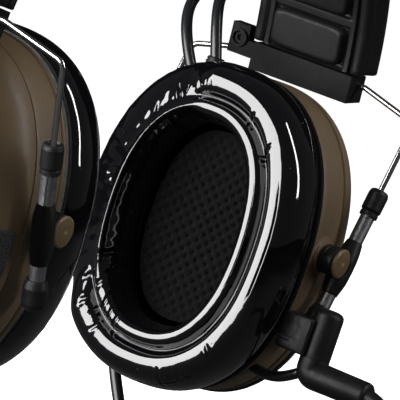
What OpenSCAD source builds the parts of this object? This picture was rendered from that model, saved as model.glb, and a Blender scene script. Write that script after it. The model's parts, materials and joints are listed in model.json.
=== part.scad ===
// Communications headset: two sprung ear cups on wire forks, a moulded
// headband, a boom microphone and a radio lead. Millimetres, +Z up, +X to the
// wearer's left, -Y to the front. The origin is midway between the tilt axes.

/* [Fit on the head] */
// Distance from the centre plane to each cup's tilt axis
pivot_x = 88; // [84:0.5:90]
// Outward lean of the forks at rest, in degrees
slant = 18; // [16:1:19]
// Outward lean of the cups at rest, in degrees
cup_slant = 2; // [0:1:4]
// Height of the fold axis above the tilt axis, measured along the fork
fork_rise = 63; // [63:0.5:66]
// Outboard offset of the fork wires from the tilt axis
fork_out = 7; // [6.8:0.1:7.4]

/* [Headband] */
// Width of the band, front to rear
band_w = 40; // [38:1:44]
// Lean of the band's ends towards the head, in degrees
band_lean = 7; // [5:1:8]
// Number of comfort pads along the inside of the band
pad_count = 17; // [15:2:17]
// Angle between neighbouring pads
pad_pitch = 9.6; // [9.4:0.1:9.6]

/* [Ear cups] */
// Half width of the cup shell, front to rear
cup_a = 42.3; // [41.5:0.1:42.6]
// Extra half height of the cup over its half width
cup_tall = 13.5; // [11:0.5:13.5]
// Height of the cup's centre relative to the tilt axis
cup_z = -4.6; // [-8:0.1:-4.6]
// Squareness of the cup outline, where 2 is an ellipse
squareness = 2.3; // [2:0.05:2.5]
// Depth of the domed outer cover
dome_d = 17.2; // [16.5:0.1:18]
// Wall thickness of the mouldings
wall = 2.2; // [2:0.1:2.4]

/* [Cushions] */
// How far the cushion stands off its seal plate
cushion_d = 20; // [18:0.1:22]
// Half width of the cushion's ear opening
ear_a = 21.5; // [20.5:0.5:23]

/* [Forks and sliders] */
// Radius of the fork wire
wire_r = 1; // [0.9:0.05:1.1]
// Running clearance on the radius of moving fits
play = 0.05; // [0.02:0.01:0.08]
// Distance of the slider tubes in front of and behind the tilt axis line
tube_y = 48; // [48:0.5:50]
// Outer radius of the slider tubes
tube_r = 2.6; // [2.4:0.1:2.8]

/* [Boom microphone] */
// Distance of the boom's swivel axis in front of the tilt axis
boom_y = 56.5; // [56.5:0.5:60]
// Distance of the boom's swivel axis inboard of the tilt axis
boom_in = 6; // [5.8:0.1:6.4]
// Height of the horizontal arm of the boom elbow
arm_z = -38.5; // [-40:0.1:-38]
// Outer radius of the boom's swivel sleeve
sleeve_r = 5.25; // [5:0.05:5.4]

/* [Radio lead] */
// Radius of the leads
lead_r = 2.1; // [1.8:0.1:2.4]
// Length of the radio lead below the cup
lead_len = 104; // [88:2:128]
// Radius of the plug's contact barrel, a 0.281 inch jack
jack_r = 3.56; // [3.5:0.01:3.6]

/* [Hidden] */
$fn = 48;

// Colours
coyote = [0.38, 0.32, 0.24];
moulding = [0.13, 0.13, 0.14];
gloss = [0.05, 0.05, 0.06];
steel = [0.72, 0.73, 0.75];
brass = [0.78, 0.66, 0.36];
foam = [0.17, 0.17, 0.18];

// Fold axis and the arc of the band
hinge_x = pivot_x + fork_rise * sin(slant) + fork_out * cos(slant);
hinge_z = fork_rise * cos(slant) - fork_out * sin(slant);
band_r = hinge_x / cos(band_lean);
band_z = hinge_z - band_r * sin(band_lean);
rib_lift = 2;
lug_y = band_w / 2 + 7.4;

// Fork wire: crossbar, sloping shoulder, straight leg
bar_y = 24;
bend_z = fork_rise - 6.2;
bend_r = 3.5;
leg_low = -13;
tube_top = 22.4;
tube_low = -16;
bore_r = wire_r + play;

// Cup mouldings
seg = 48;
shell_x0 = -8;
shell_x1 = 8.4;
cover_x0 = 8.8;
cover_x1 = cover_x0 + dome_d;
flat_a = 20;
plate_x0 = -10;
cushion_x1 = plate_x0 - 0.3;
cushion_x0 = cushion_x1 - cushion_d;
speaker_r = 24;
post_y = 26;
post_z = 35;
boss_y = 43.6;
hub_y = tube_y + 1.8;
pin_r = 2;
disc_r = 5.2;
pin_bore_r = pin_r + play;

// Batteries and controls, on the right cup
cell_r = 5.25;
cell_l = 44.5;
cell_x = 17.8;
cell_y = 6;
cell_z0 = cup_z - 13.5;
door_y = 12.5;
door_z0 = cup_z - 16;
door_z1 = cup_z + 35;
knuckle_r = 1.5;
door_axis_x = cover_x1 - knuckle_r + 0.3;
key_z = cup_z - 30;
key_y = 20;
key_r = 5;
stem_r = 1.5;
board_x = 9.6;

// Boom
sleeve_top = -15.6;
seam_z = arm_z + 5.5;
arm_r = 4.9;
arm_end = 23;
spigot_r = 3;
neck_r = 2.5;

// Radio lead
lead_y = 25;
lead_z = cup_z - (cup_a + cup_tall) * pow(1 - pow(lead_y / cup_a, squareness), 1 / squareness) + 3;
plug_l = 34;

// ---- placing and building helpers ----

module left() {
    translate([pivot_x, 0, 0])
        rotate([0, slant, 0])
            children();
}

module right() {
    mirror([1, 0, 0])
        left()
            children();
}

// The cups hang on the tilt axis at their own lean
module left_cup() {
    translate([pivot_x, 0, 0])
        rotate([0, cup_slant, 0])
            children();
}

module right_cup() {
    mirror([1, 0, 0])
        left_cup()
            children();
}

module both_ends() {
    for (s = [-1, 1])
        scale_y(s)
            children();
}

module scale_y(s) {
    if (s > 0)
        children();
    else
        mirror([0, 1, 0])
            children();
}

module x_rod(r, x0, x1, y, z) {
    translate([x0, y, z])
        rotate([0, 90, 0])
            cylinder(h = x1 - x0, r = r);
}

module y_rod(r, y0, y1, x, z) {
    translate([x, y1, z])
        rotate([90, 0, 0])
            cylinder(h = y1 - y0, r = r);
}

module box(lo, hi) {
    translate(lo)
        cube(hi - lo);
}

function soft(v) = sign(v) * pow(abs(v), 2 / squareness);

// One cup-shaped loop of half width a at depth x
function loop(x, a) = [
    for (i = [0 : seg - 1])
        let (t = 360 * i / seg)
            [x, a * soft(cos(t)), cup_z + (a + cup_tall) * soft(sin(t))]];

function flat(rows) = [for (row = rows) for (p = row) p];

// Side faces between ring i and ring j of a stack with n points a ring
function band_faces(i, j, n) = [
    for (k = [0 : n - 1])
        [i * n + k, j * n + k, j * n + (k + 1) % n, i * n + (k + 1) % n]];

// A closed solid through a stack of rings, capped at both ends
module skin(rings) {
    n = len(rings[0]);
    m = len(rings);
    sides = [for (i = [0 : m - 2]) each band_faces(i, i + 1, n)];
    low = [for (k = [0 : n - 1]) k];
    high = [for (k = [n - 1 : -1 : 0]) (m - 1) * n + k];
    polyhedron(flat(rings), concat(sides, [low, high]), convexity = 6);
}

// A closed ring-shaped solid, whose last ring joins the first
module skin_ring(rings) {
    n = len(rings[0]);
    m = len(rings);
    sides = [for (i = [0 : m - 1]) each band_faces(i, (i + 1) % m, n)];
    polyhedron(flat(rings), sides, convexity = 8);
}

// Cup-shaped slab from x0 to x1 of half width a
module slab(x0, x1, a) {
    skin([loop(x0, a), loop(x1, a)]);
}

// Round tube of radius r along a list of points
function unit(v) = v / norm(v);
function heading(p, i) = unit(p[min(i + 1, len(p) - 1)] - p[max(i - 1, 0)]);
function tube_ring(p, i, r, n) =
    let (d = heading(p, i), u = unit(cross(d, [0.31, 0.05, 0.95])), v = cross(d, u))
        [for (k = [0 : n - 1]) p[i] + r * cos(360 * k / n) * u + r * sin(360 * k / n) * v];

module tube_along(p, r, n = 12) {
    skin([for (i = [0 : len(p) - 1]) tube_ring(p, i, r, n)]);
}

function bezier(a, b, c, d, steps) = [
    for (i = [0 : steps])
        let (t = i / steps, s = 1 - t)
            s * s * s * a + 3 * s * s * t * b + 3 * s * t * t * c + t * t * t * d];

// Half width of the domed cover where it has risen a share t of its depth
function dome_a(t) = flat_a + (cup_a - flat_a) * pow(1 - pow(t, 2.2), 1 / 2.2);

// The cover's dome, grown outward by g and cut off below x0
module dome(g, x0 = cover_x0) {
    steps = [0, 0.25, 0.45, 0.6, 0.72, 0.82, 0.9, 0.96, 1];
    t0 = (x0 - cover_x0) / dome_d;
    rings = [for (t = steps) if (t > t0 + 0.02) loop(cover_x0 + t * dome_d + g * t, dome_a(t) + g)];
    skin(concat([loop(x0, dome_a(max(t0, 0)) + g)], rings));
}

// ---- headband ----

// Sweeps an outline of radius and forward offset about the band's centre
module band_sweep(a0, a1) {
    translate([0, 0, band_z])
        rotate([90, 0, 0])
            rotate_extrude(angle = a1 - a0, start = a0, $fn = 120)
                children();
}

module rect(r0, r1, w0, w1) {
    translate([r0, w0])
        square([r1 - r0, w1 - w0]);
}

module headband_shell() {
    color(moulding)
        band_sweep(band_lean + rib_lift, 180 - band_lean - rib_lift)
            difference() {
                union() {
                    rect(band_r, band_r + 8, -band_w / 2, band_w / 2);
                    for (s = [-1, 1]) {
                        translate([band_r + 4.6, s * (band_w / 2 - 1)])
                            circle(r = 4.6);
                        translate([band_r - 2.2, s * (band_w / 2 + 0.4)])
                            circle(r = 2.8);
                    }
                }
                rect(band_r - 6, band_r + 2.2, -band_w / 2 + 2, band_w / 2 - 2);
                rect(band_r + 6.6, band_r + 9, -8, 8);
            }
}

module headband_liner() {
    rail = band_w / 2 - 2.1;
    color(moulding)
        band_sweep(band_lean + rib_lift, 180 - band_lean - rib_lift)
            difference() {
                rect(band_r - 5, band_r - 1.4, -rail, rail);
                rect(band_r - 6, band_r - 3.6, -16, 16);
            }
}

module headband_pads() {
    color(moulding)
        for (k = [0 : pad_count - 1])
            rotate_pad(90 + (k - (pad_count - 1) / 2) * pad_pitch)
                hull() {
                    box([-6.4, -15, -7], [-4, 15, 7]);
                    box([-7.6, -14.2, -6.2], [-6, 14.2, 6.2]);
                }
}

// Moves to angle a on the band, with +X outward and +Z along the band
module rotate_pad(a) {
    translate([band_r * cos(a), 0, band_z + band_r * sin(a)])
        rotate([0, -a, 0])
            children();
}

module headband_spring() {
    color(steel)
        band_sweep(band_lean + rib_lift + 1, 180 - band_lean - rib_lift - 1)
            for (s = [-1, 1])
                translate([band_r - 0.9, s * 9 - 4])
                    square([0.8, 8]);
}

// Origin on the fold axis, +X outboard, +Z up along the band's end
module at_hinge(side) {
    mirror([side < 0 ? 1 : 0, 0, 0])
        translate([hinge_x, 0, hinge_z])
            rotate([0, -band_lean, 0])
                children();
}

module end_block() {
    half = band_w / 2 + 1;
    difference() {
        union() {
            box([-6, -half, -6.5], [4, half, 3.2]);
            box([0.1, -13, 3], [1.3, 13, 12]);
            box([-6, half - 1, -3], [-1.8, lug_y + 4, 2.8]);
            box([-6, lug_y - 3.6, 2.7], [-1.8, lug_y + 4, 8]);
            x_rod(3.3, -6.8, -5.9, lug_y, 3);
        }
        y_rod(bore_r, -half - 1, lug_y + 5, 0, 0);
        x_rod(2.4, -7, -4.4, lug_y, 3);
        x_rod(1.2, -5, -1, lug_y, 3);
    }
}

module left_end_block() {
    color(moulding)
        at_hinge(1)
            end_block();
}

module right_end_block() {
    color(moulding)
        at_hinge(-1)
            end_block();
}

module end_block_screws() {
    color(steel)
        for (side = [-1, 1])
            at_hinge(side)
                difference() {
                    union() {
                        x_rod(2.2, -5.9, -4.4, lug_y, 3);
                        x_rod(1.2, -4.5, -1.9, lug_y, 3);
                    }
                    translate([-6.2, lug_y, 3])
                        rotate([0, 90, 0])
                            cylinder(h = 1.2, r = 1.2, $fn = 6);
                }
}

module crossover_lead() {
    color(gloss)
        band_sweep(24, 156)
            for (k = [0, 1])
                translate([band_r + 1.5 + 5 * k, -band_w / 2 - 6.6])
                    circle(r = lead_r);
}

module lead_clips() {
    color(moulding)
        for (a = [42, 90, 138])
            band_sweep(a - 2, a + 2)
                difference() {
                    rect(band_r - 1.6, band_r + 9.6, -band_w / 2 - 9.8, -band_w / 2 - 3.7);
                    for (k = [0, 1])
                        translate([band_r + 1.5 + 5 * k, -band_w / 2 - 6.6])
                            circle(r = lead_r);
                }
}

// ---- forks ----

// Fillet of radius r at corner b of the path a, b, c
function fillet(a, b, c, r) =
    let (u = unit(a - b), v = unit(c - b), half = acos(u * v) / 2,
         d = r / tan(half), o = b + unit(u + v) * (r / sin(half)), p = b + u * d, q = b + v * d)
        [for (i = [0 : 6]) o + r * unit((p - o) * (6 - i) / 6 + (q - o) * i / 6)];

// Shoulder of the fork on the front side, from the crossbar to the leg
function shoulder() =
    let (a = [fork_out, -bar_y + 3, fork_rise], b = [fork_out, -bar_y, fork_rise],
         c = [fork_out, -tube_y, bend_z], d = [fork_out, -tube_y, bend_z - bend_r - 6])
        concat([a], fillet(a, b, c, bend_r), fillet(b, c, d, bend_r), [d]);

module fork_wire() {
    y_rod(wire_r, -bar_y + 1, bar_y - 1, fork_out, fork_rise);
    both_ends() {
        tube_along(shoulder(), wire_r - 0.02, 14);
        translate([fork_out, -tube_y, leg_low])
            cylinder(h = bend_z - bend_r - 5 - leg_low, r = wire_r);
    }
}

module left_fork_wire() {
    color(steel)
        left()
            fork_wire();
}

module right_fork_wire() {
    color(steel)
        right()
            fork_wire();
}

// ---- sliders ----

module at_tube() {
    both_ends()
        translate([fork_out, -tube_y, 0])
            children();
}

module slider_tubes() {
    color(moulding)
        at_tube()
            difference() {
                translate([0, 0, tube_low])
                    cylinder(h = tube_top - tube_low, r = tube_r);
                translate([0, 0, tube_low - 1])
                    cylinder(h = tube_top - tube_low + 2, r = bore_r);
                rotate([0, 0, 62])
                    box([-0.45, -3, 8.6], [0.45, -2.1, tube_top - 2.6]);
            }
}

module slider_collars() {
    color(moulding)
        at_tube()
            rotate_extrude()
                polygon([
                    [tube_r, tube_top - 2], [3.3, tube_top - 2], [3.3, tube_top - 0.6], [3, tube_top - 0.3],
                    [3.3, tube_top], [3.6, tube_top + 0.4], [3.6, tube_top + 6.4], [3.2, tube_top + 7.6],
                    [2.6, tube_top + 8], [2.2, tube_top + 7.2], [bore_r, tube_top + 6.6],
                    [bore_r, tube_top + 0.05], [tube_r, tube_top + 0.05]]);
}

module slider_caps() {
    color(moulding)
        at_tube()
            rotate_extrude()
                polygon([
                    [0, tube_low - 9.6], [2.4, tube_low - 9.3], [3.6, tube_low - 8.2], [4.1, tube_low - 6.6],
                    [4.1, tube_low - 1.6], [3.7, tube_low - 0.4], [3.2, tube_low + 1], [tube_r, tube_low + 1],
                    [tube_r, tube_low - 0.05], [0, tube_low - 0.05]]);
}

module pivot_blocks() {
    color(moulding)
        both_ends()
            difference() {
                union() {
                    translate([fork_out, -tube_y, -8])
                        cylinder(h = 16, r = 3.9);
                    y_rod(4.6, -hub_y, -boss_y - 0.4, 0, 0);
                    box([0, -hub_y, -3.6], [fork_out, -tube_y + 2.4, 3.6]);
                }
                translate([fork_out, -tube_y, -9])
                    cylinder(h = 18, r = tube_r);
                y_rod(pin_bore_r, -hub_y - 1, -boss_y + 1, 0, 0);
                y_rod(disc_r + 0.3, -hub_y - 4, -hub_y, 0, 0);
            }
}

module pivot_buttons() {
    color(coyote)
        both_ends()
            union() {
                translate([0, -hub_y - 0.3, 0])
                    rotate([90, 0, 0])
                        rotate_extrude()
                            polygon([
                                [0, 0], [disc_r - 0.2, 0], [disc_r, 0.3], [disc_r, 0.9],
                                [disc_r - 0.6, 1.3], [2.5, 1.6], [0, 1.7]]);
                y_rod(pin_r, -hub_y - 0.4, -39, 0, 0);
            }
}

module left_slider_tubes() { left() slider_tubes(); }
module right_slider_tubes() { right() slider_tubes(); }
module left_slider_collars() { left() slider_collars(); }
module right_slider_collars() { right() slider_collars(); }
module left_slider_caps() { left() slider_caps(); }
module right_slider_caps() { right() slider_caps(); }
module left_pivot_blocks() { left() pivot_blocks(); }
module right_pivot_blocks() { right() pivot_blocks(); }
module left_pivot_buttons() { left_cup() pivot_buttons(); }
module right_pivot_buttons() { right_cup() pivot_buttons(); }

// ---- cups ----

module at_posts() {
    for (y = [-post_y, post_y])
        for (z = [cup_z - post_z, cup_z + post_z])
            translate([0, y, z])
                children();
}

module cup_shell() {
    color(coyote)
        difference() {
            union() {
                difference() {
                    skin([
                        loop(shell_x0, cup_a - 0.9), loop(shell_x0 + 1.2, cup_a), loop(0, cup_a + 0.3),
                        loop(shell_x1 - 0.8, cup_a), loop(shell_x1, cup_a - 0.7)]);
                    slab(shell_x0 + wall, shell_x1 + 1, cup_a - wall);
                }
                at_posts()
                    x_rod(3.4, shell_x0 + 1, shell_x1, 0, 0);
                both_ends()
                    y_rod(5.4, -boss_y, -38.5, 0, 0);
            }
            x_rod(speaker_r + 0.3, shell_x0 - 1, shell_x0 + 4, 0, cup_z);
            y_rod(pin_r, -boss_y - 1, boss_y + 1, 0, 0);
            at_posts() {
                x_rod(1.4, shell_x0 - 1, shell_x1 + 1, 0, 0);
                x_rod(2.8, shell_x0 - 1, shell_x0 + 1.8, 0, 0);
            }
        }
}

module outer_cover_blank() {
    difference() {
        dome(0);
        difference() {
            dome(-wall, cover_x0 - 1);
            at_posts()
                x_rod(3.4, cover_x0, cover_x1, 0, 0);
        }
        at_posts()
            x_rod(1.25, cover_x0 - 1, cover_x0 + 7, 0, 0);
    }
}

module left_cup_shell() { left_cup() cup_shell(); }
module right_cup_shell() { right_cup() cup_shell(); }

module mic_seat(r) {
    x_rod(r, cover_x1 - 5, cover_x1 + 2, -22, cup_z + 20);
}

module left_outer_cover() {
    color(coyote)
        left_cup()
            difference() {
                outer_cover_blank();
                mic_seat(3.05);
            }
}

module right_outer_cover() {
    color(coyote)
        right_cup()
            difference() {
                outer_cover_blank();
                mic_seat(3.05);
                box([cover_x1 - 5, -door_y - 0.2, door_z0 - 1.8], [cover_x1 + 1, door_y + 0.2, door_z1 + 0.2]);
                y_rod(0.75, -door_y - 2, door_y + 2, door_axis_x, door_z0);
                for (y = [-key_y, 0, key_y]) {
                    x_rod(key_r + 0.3, cover_x1 - 1.2, cover_x1 + 1, y, key_z);
                    x_rod(stem_r + play, cover_x1 - 5, cover_x1 + 1, y, key_z);
                }
            }
}

module grip_panel_blank() {
    difference() {
        intersection() {
            dome(1.1, cover_x0 + 3);
            box([cover_x0 + 3, -60, cup_z - 60], [cover_x1 + 4, 60, cup_z + 2]);
        }
        dome(0.06, cover_x0 - 1);
        box([cover_x1 - 4, -door_y - 1.4, door_z0 - 3], [cover_x1 + 3, door_y + 1.4, cup_z + 5]);
    }
}

module left_grip_panel() {
    color(moulding)
        left_cup()
            grip_panel_blank();
}

module right_grip_panel() {
    color(moulding)
        right_cup()
            difference() {
                grip_panel_blank();
                for (y = [-key_y, 0, key_y])
                    x_rod(key_r + 0.3, cover_x1 - 3, cover_x1 + 3, y, key_z);
            }
}

module seal_plate() {
    color(gloss)
        difference() {
            skin([
                loop(plate_x0, cup_a + 0.2), loop(plate_x0 + 0.6, cup_a + 1),
                loop(plate_x0 + 1.5, cup_a + 1), loop(shell_x0 - 0.05, cup_a + 0.1)]);
            slab(plate_x0 - 1, shell_x0 + 1, ear_a + 2);
        }
}

module left_seal_plate() { left_cup() seal_plate(); }
module right_seal_plate() { right_cup() seal_plate(); }

// Cushion section as shares of its depth and width, outer wall first
function cushion_rings() =
    let (w = cup_a + 2 - ear_a,
         section = [
             [1, 0.88], [0.8, 0.99], [0.5, 1], [0.2, 0.95], [0.04, 0.8], [0, 0.63], [0.07, 0.48],
             [0.03, 0.33], [0.12, 0.13], [0.35, 0.02], [0.65, 0], [0.9, 0.04], [1, 0.1]])
        [for (i = [len(section) - 1 : -1 : 0])
            let (p = section[i])
                loop(cushion_x0 + p[0] * cushion_d, ear_a + p[1] * w)];

module cushion() {
    color(gloss)
        skin_ring(cushion_rings());
}

module left_cushion() { left_cup() cushion(); }
module right_cushion() { right_cup() cushion(); }

module foam_liner() {
    color(foam)
        slab(plate_x0 - 3.6, shell_x0 - 0.5, ear_a - 0.8);
}

module left_foam_liner() { left_cup() foam_liner(); }
module right_foam_liner() { right_cup() foam_liner(); }

module speaker() {
    color(moulding)
        difference() {
            union() {
                x_rod(speaker_r, shell_x0 + 0.2, shell_x0 + 3, 0, cup_z);
                x_rod(speaker_r - 3, shell_x0 + 2.9, shell_x0 + 6, 0, cup_z);
                x_rod(12, shell_x0 + 5.9, shell_x0 + 13, 0, cup_z);
            }
            x_rod(speaker_r - 4, shell_x0 - 1, shell_x0 + 1.2, 0, cup_z);
            for (ring = [6, 12, 18])
                for (k = [0 : ring - 1])
                    rotate_speaker(360 * k / ring)
                        x_rod(0.9, shell_x0, shell_x0 + 3.6, ring, 0);
        }
}

module rotate_speaker(a) {
    translate([0, 0, cup_z])
        rotate([a, 0, 0])
            children();
}

module left_speaker() { left_cup() speaker(); }
module right_speaker() { right_cup() speaker(); }

module cover_screws() {
    color(steel)
        at_posts()
            difference() {
                union() {
                    x_rod(2.6, shell_x0 + 0.1, shell_x0 + 1.8, 0, 0);
                    x_rod(1.25, shell_x0 + 1.7, cover_x0 + 6, 0, 0);
                }
                translate([shell_x0 - 0.5, 0, 0])
                    rotate([0, 90, 0])
                        cylinder(h = 1.6, r = 1.1, $fn = 6);
            }
}

module left_cover_screws() { left_cup() cover_screws(); }
module right_cover_screws() { right_cup() cover_screws(); }

module ambient_mic() {
    color(moulding)
        x_rod(3, cover_x1 - 4.6, cover_x1 + 0.6, -22, cup_z + 20);
}

module left_ambient_mic() { left_cup() ambient_mic(); }
module right_ambient_mic() { right_cup() ambient_mic(); }

module windscreen() {
    color(foam)
        translate([cover_x1 + 0.7, -22, cup_z + 20])
            rotate([0, 90, 0])
                rotate_extrude()
                    polygon([[0, 0], [5.6, 0], [6, 1.2], [5.2, 3.4], [3, 4.6], [0, 5]]);
}

module left_windscreen() { left_cup() windscreen(); }
module right_windscreen() { right_cup() windscreen(); }

// Strain relief where the crossover leads enter the top of a cup
module lead_gland() {
    color(moulding)
        for (k = [0, 1])
            translate([3.4 * k - 1.7, 22 + 9 * k, 0])
                difference() {
                    translate([0, 0, cup_z + cup_a + cup_tall - 6.6 - 14.4 * k])
                        cylinder(h = 7.4 + 6.4 * k, r1 = 4.2, r2 = 2.7);
                    skin([for (x = [-20, 20]) loop(x, cup_a + 0.32)]);
                }
}

module left_lead_gland() { left_cup() lead_gland(); }
module right_lead_gland() { right_cup() lead_gland(); }

// ---- electronics in the right cup ----

module circuit_board() {
    color("darkgreen")
        right_cup() {
            box([board_x, -22, cup_z - 34], [board_x + 1.6, 22, cup_z + 24]);
            for (y = [-key_y, 0, key_y])
                x_rod(2.2, board_x + 1.5, board_x + 2.6, y, key_z);
            for (z = [cup_z - 22, cup_z + 10])
                box([board_x - 1.4, 14, z], [board_x + 0.1, 22, z + 8]);
        }
}

module battery_tray() {
    half = 2 * cell_r + 2.6;
    color(moulding)
        right_cup()
            difference() {
                box([board_x + 1.8, -half, cell_z0 - 3.4], [cell_x + 1, half, cell_z0 + cell_l + 3.4]);
                box([board_x + 9, -half + 1.2, cell_z0 - 2.2], [cell_x + 2, half - 1.2, cell_z0 + cell_l + 2.2]);
                for (y = [-cell_y, cell_y])
                    translate([cell_x, y, cell_z0 - 2.2])
                        cylinder(h = cell_l + 4.4, r = cell_r + 0.15);
            }
}

module batteries() {
    color("silver")
        right_cup()
            for (s = [-1, 1])
                translate([cell_x, s * cell_y, cell_z0 + (s > 0 ? 0 : cell_l)])
                    mirror([0, 0, s > 0 ? 0 : 1]) {
                        cylinder(h = cell_l - 1, r = cell_r);
                        translate([0, 0, cell_l - 1.1])
                            cylinder(h = 1.1, r = 1.9);
                    }
}

module battery_contacts() {
    color(brass)
        right_cup()
            for (y = [-cell_y, cell_y])
                for (z = [cell_z0 - 2.1, cell_z0 + cell_l + 0.2])
                    translate([cell_x, y, z]) {
                        cylinder(h = 0.7, r = 4);
                        cylinder(h = 1.9, r = 2.4);
                    }
}

module battery_door() {
    color(coyote)
        right_cup()
            union() {
                intersection() {
                    difference() {
                        dome(0);
                        dome(-wall, cover_x0 - 1);
                    }
                    box([cover_x1 - 4, -door_y, door_z0 + 0.4], [cover_x1 + 1, door_y, door_z1]);
                }
                y_rod(knuckle_r - 0.1, -door_y, door_y, door_axis_x, door_z0);
                y_rod(0.7, -door_y - 1.6, door_y + 1.6, door_axis_x, door_z0);
            }
}

module control_key(y) {
    color(moulding)
        right_cup()
            union() {
                translate([cover_x1 + 0.1, y, key_z])
                    rotate([0, 90, 0])
                        rotate_extrude()
                            polygon([[0, 0], [key_r, 0], [key_r, 1.9], [key_r - 0.8, 2.6], [0, 2.9]]);
                x_rod(stem_r, board_x + 3.7, cover_x1 + 0.2, y, key_z);
            }
}

module volume_up_button() { control_key(-key_y); }
module volume_down_button() { control_key(0); }
module power_button() { control_key(key_y); }

// ---- boom microphone on the left cup ----

module at_boom() {
    translate([-boom_in, -boom_y, 0])
        children();
}

module boom_bracket() {
    color(moulding)
        left_cup()
            difference() {
                union() {
                    at_boom()
                        translate([0, 0, seam_z])
                            cylinder(h = sleeve_top - seam_z - 4, r = sleeve_r);
                    at_boom()
                        translate([0, 0, sleeve_top - 4.1])
                            rotate_extrude()
                                polygon([[0, 0], [sleeve_r, 0], [sleeve_r, 1], [4.6, 2.7], [3, 3.8], [0, 4.1]]);
                    box([-13.2, -boom_y + 1, seam_z], [-8.3, -43, sleeve_top - 4]);
                    box([-8.6, -43.6, seam_z], [3, -36, sleeve_top - 4]);
                }
                at_boom()
                    translate([0, 0, seam_z - 1])
                        cylinder(h = 13, r = spigot_r + play);
                box([-14, -boom_y + 9, seam_z + 3.2], [-12.4, -43, seam_z + 4.6]);
                skin([for (x = [-30, 20]) loop(x, cup_a + 2.2)]);
            }
}

module boom_elbow() {
    color(moulding)
        left_cup()
            at_boom()
                union() {
                    translate([0, 0, seam_z - 0.3])
                        cylinder(h = 11, r = spigot_r);
                    translate([0, 0, arm_z + 1.4])
                        cylinder(h = seam_z - 0.15 - arm_z - 1.4, r = sleeve_r);
                    translate([0, 0, arm_z + 0.35])
                        sphere(r = sleeve_r);
                    y_rod(arm_r, -arm_end, 1, 0, arm_z);
                }
}

module mic_lead() {
    color(gloss)
        left_cup()
            difference() {
                tube_along(bezier(
                    [-2, -34, arm_z - 6], [-2, -40, arm_z - 6],
                    [-5, -46, arm_z - 2], [-5.5, -boom_y + 7.4, arm_z - 2], 6), 1.9);
                skin([for (x = [-20, 20]) loop(x, cup_a + 0.32)]);
            }
}

// Centre line of the gooseneck, from the elbow to the microphone
function neck_line() = bezier(
    [-boom_in, -boom_y - arm_end + 3, arm_z], [-boom_in, -boom_y - arm_end - 14, arm_z],
    [-boom_in - 12, -boom_y - arm_end - 26, arm_z - 8],
    [-boom_in - 34, -boom_y - arm_end - 33, arm_z - 14], 18);

module gooseneck() {
    color(foam)
        left_cup()
            difference() {
                tube_along(neck_line(), neck_r, 12);
                y_rod(arm_r + 1, -boom_y - arm_end - 0.05, -boom_y - arm_end + 8, -boom_in, arm_z);
            }
}

// Origin at the microphone end of the gooseneck, +Z along it
module at_neck_end() {
    p = neck_line();
    d = unit(p[18] - p[17]);
    translate(p[18])
        rotate([0, acos(d[2]), atan2(d[1], d[0])])
            children();
}

module mic_capsule() {
    color(moulding)
        left_cup()
            at_neck_end()
                translate([0, 0, 0.1])
                    rotate_extrude()
                        polygon([[0, 0], [3.4, 0], [4.6, 1.6], [4.6, 6.5], [4.2, 7], [4.2, 15], [3.2, 16], [0, 16]]);
}

module mic_windscreen() {
    color(foam)
        left_cup()
            at_neck_end()
                difference() {
                    translate([0, 0, 6.8])
                        rotate_extrude()
                            polygon([
                                [0, 0], [5.4, 0], [7.4, 1.6], [8.2, 5], [8, 9], [6.6, 12.6], [4, 14.8], [0, 15.6]]);
                    cylinder(h = 16.3, r = 4.7);
                }
}

// ---- radio lead and plug, hanging from the left cup ----

// Lower end of the lead, in the left cup's own frame
lead_end = [-14, lead_y - 62.5, lead_z - lead_len];

module radio_lead() {
    color(gloss)
        left_cup()
            union() {
                difference() {
                    translate([0, lead_y, lead_z - 8])
                        cylinder(h = 12, r1 = 3, r2 = 4.4);
                    skin([for (x = [-20, 20]) loop(x, cup_a + 0.32)]);
                }
                tube_along(bezier(
                    [0, lead_y, lead_z - 7], [0, lead_y - 14, lead_z - 36],
                    lead_end + [0, 4, 34], lead_end, 12), lead_r);
            }
}

module plug_body() {
    color(moulding)
        left_cup()
            translate(lead_end)
                rotate_extrude()
                    polygon([
                        [0, -0.4], [3, -0.4], [4.2, -7], [6.6, -9], [6.6, -plug_l + 2], [6, -plug_l], [0, -plug_l]]);
}

module plug_contact() {
    color(brass)
        left_cup()
            translate(lead_end + [0, 0, -plug_l - 0.05])
                union() {
                    translate([0, 0, -20])
                        cylinder(h = 20, r = jack_r);
                    translate([0, 0, -30.5])
                        rotate_extrude()
                            polygon([[0, 0], [1.2, 0], [3.2, 3.4], [2.4, 5.4], [2.4, 10.6], [0, 10.6]]);
                }
}

// ---- drawing ----

headband_shell();
headband_liner();
headband_pads();
headband_spring();
left_end_block();
right_end_block();
end_block_screws();
crossover_lead();
lead_clips();
left_fork_wire();
right_fork_wire();
left_slider_tubes();
left_slider_collars();
left_slider_caps();
left_pivot_blocks();
right_slider_tubes();
right_slider_collars();
right_slider_caps();
right_pivot_blocks();
left_pivot_buttons();
right_pivot_buttons();
left_cup_shell();
right_cup_shell();
left_outer_cover();
right_outer_cover();
left_grip_panel();
right_grip_panel();
left_seal_plate();
right_seal_plate();
left_cushion();
right_cushion();
left_foam_liner();
right_foam_liner();
left_speaker();
right_speaker();
left_cover_screws();
right_cover_screws();
left_ambient_mic();
right_ambient_mic();
left_windscreen();
right_windscreen();
left_lead_gland();
right_lead_gland();
circuit_board();
battery_tray();
batteries();
battery_contacts();
battery_door();
volume_up_button();
volume_down_button();
power_button();
boom_bracket();
boom_elbow();
mic_lead();
gooseneck();
mic_capsule();
mic_windscreen();
radio_lead();
plug_body();
plug_contact();
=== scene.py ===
import json
import random
from math import atan, atan2, copysign, cos, degrees, exp, hypot, pi, radians, sin, tan

import bmesh
import bpy
from mathutils import Matrix, Vector, noise

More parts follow.
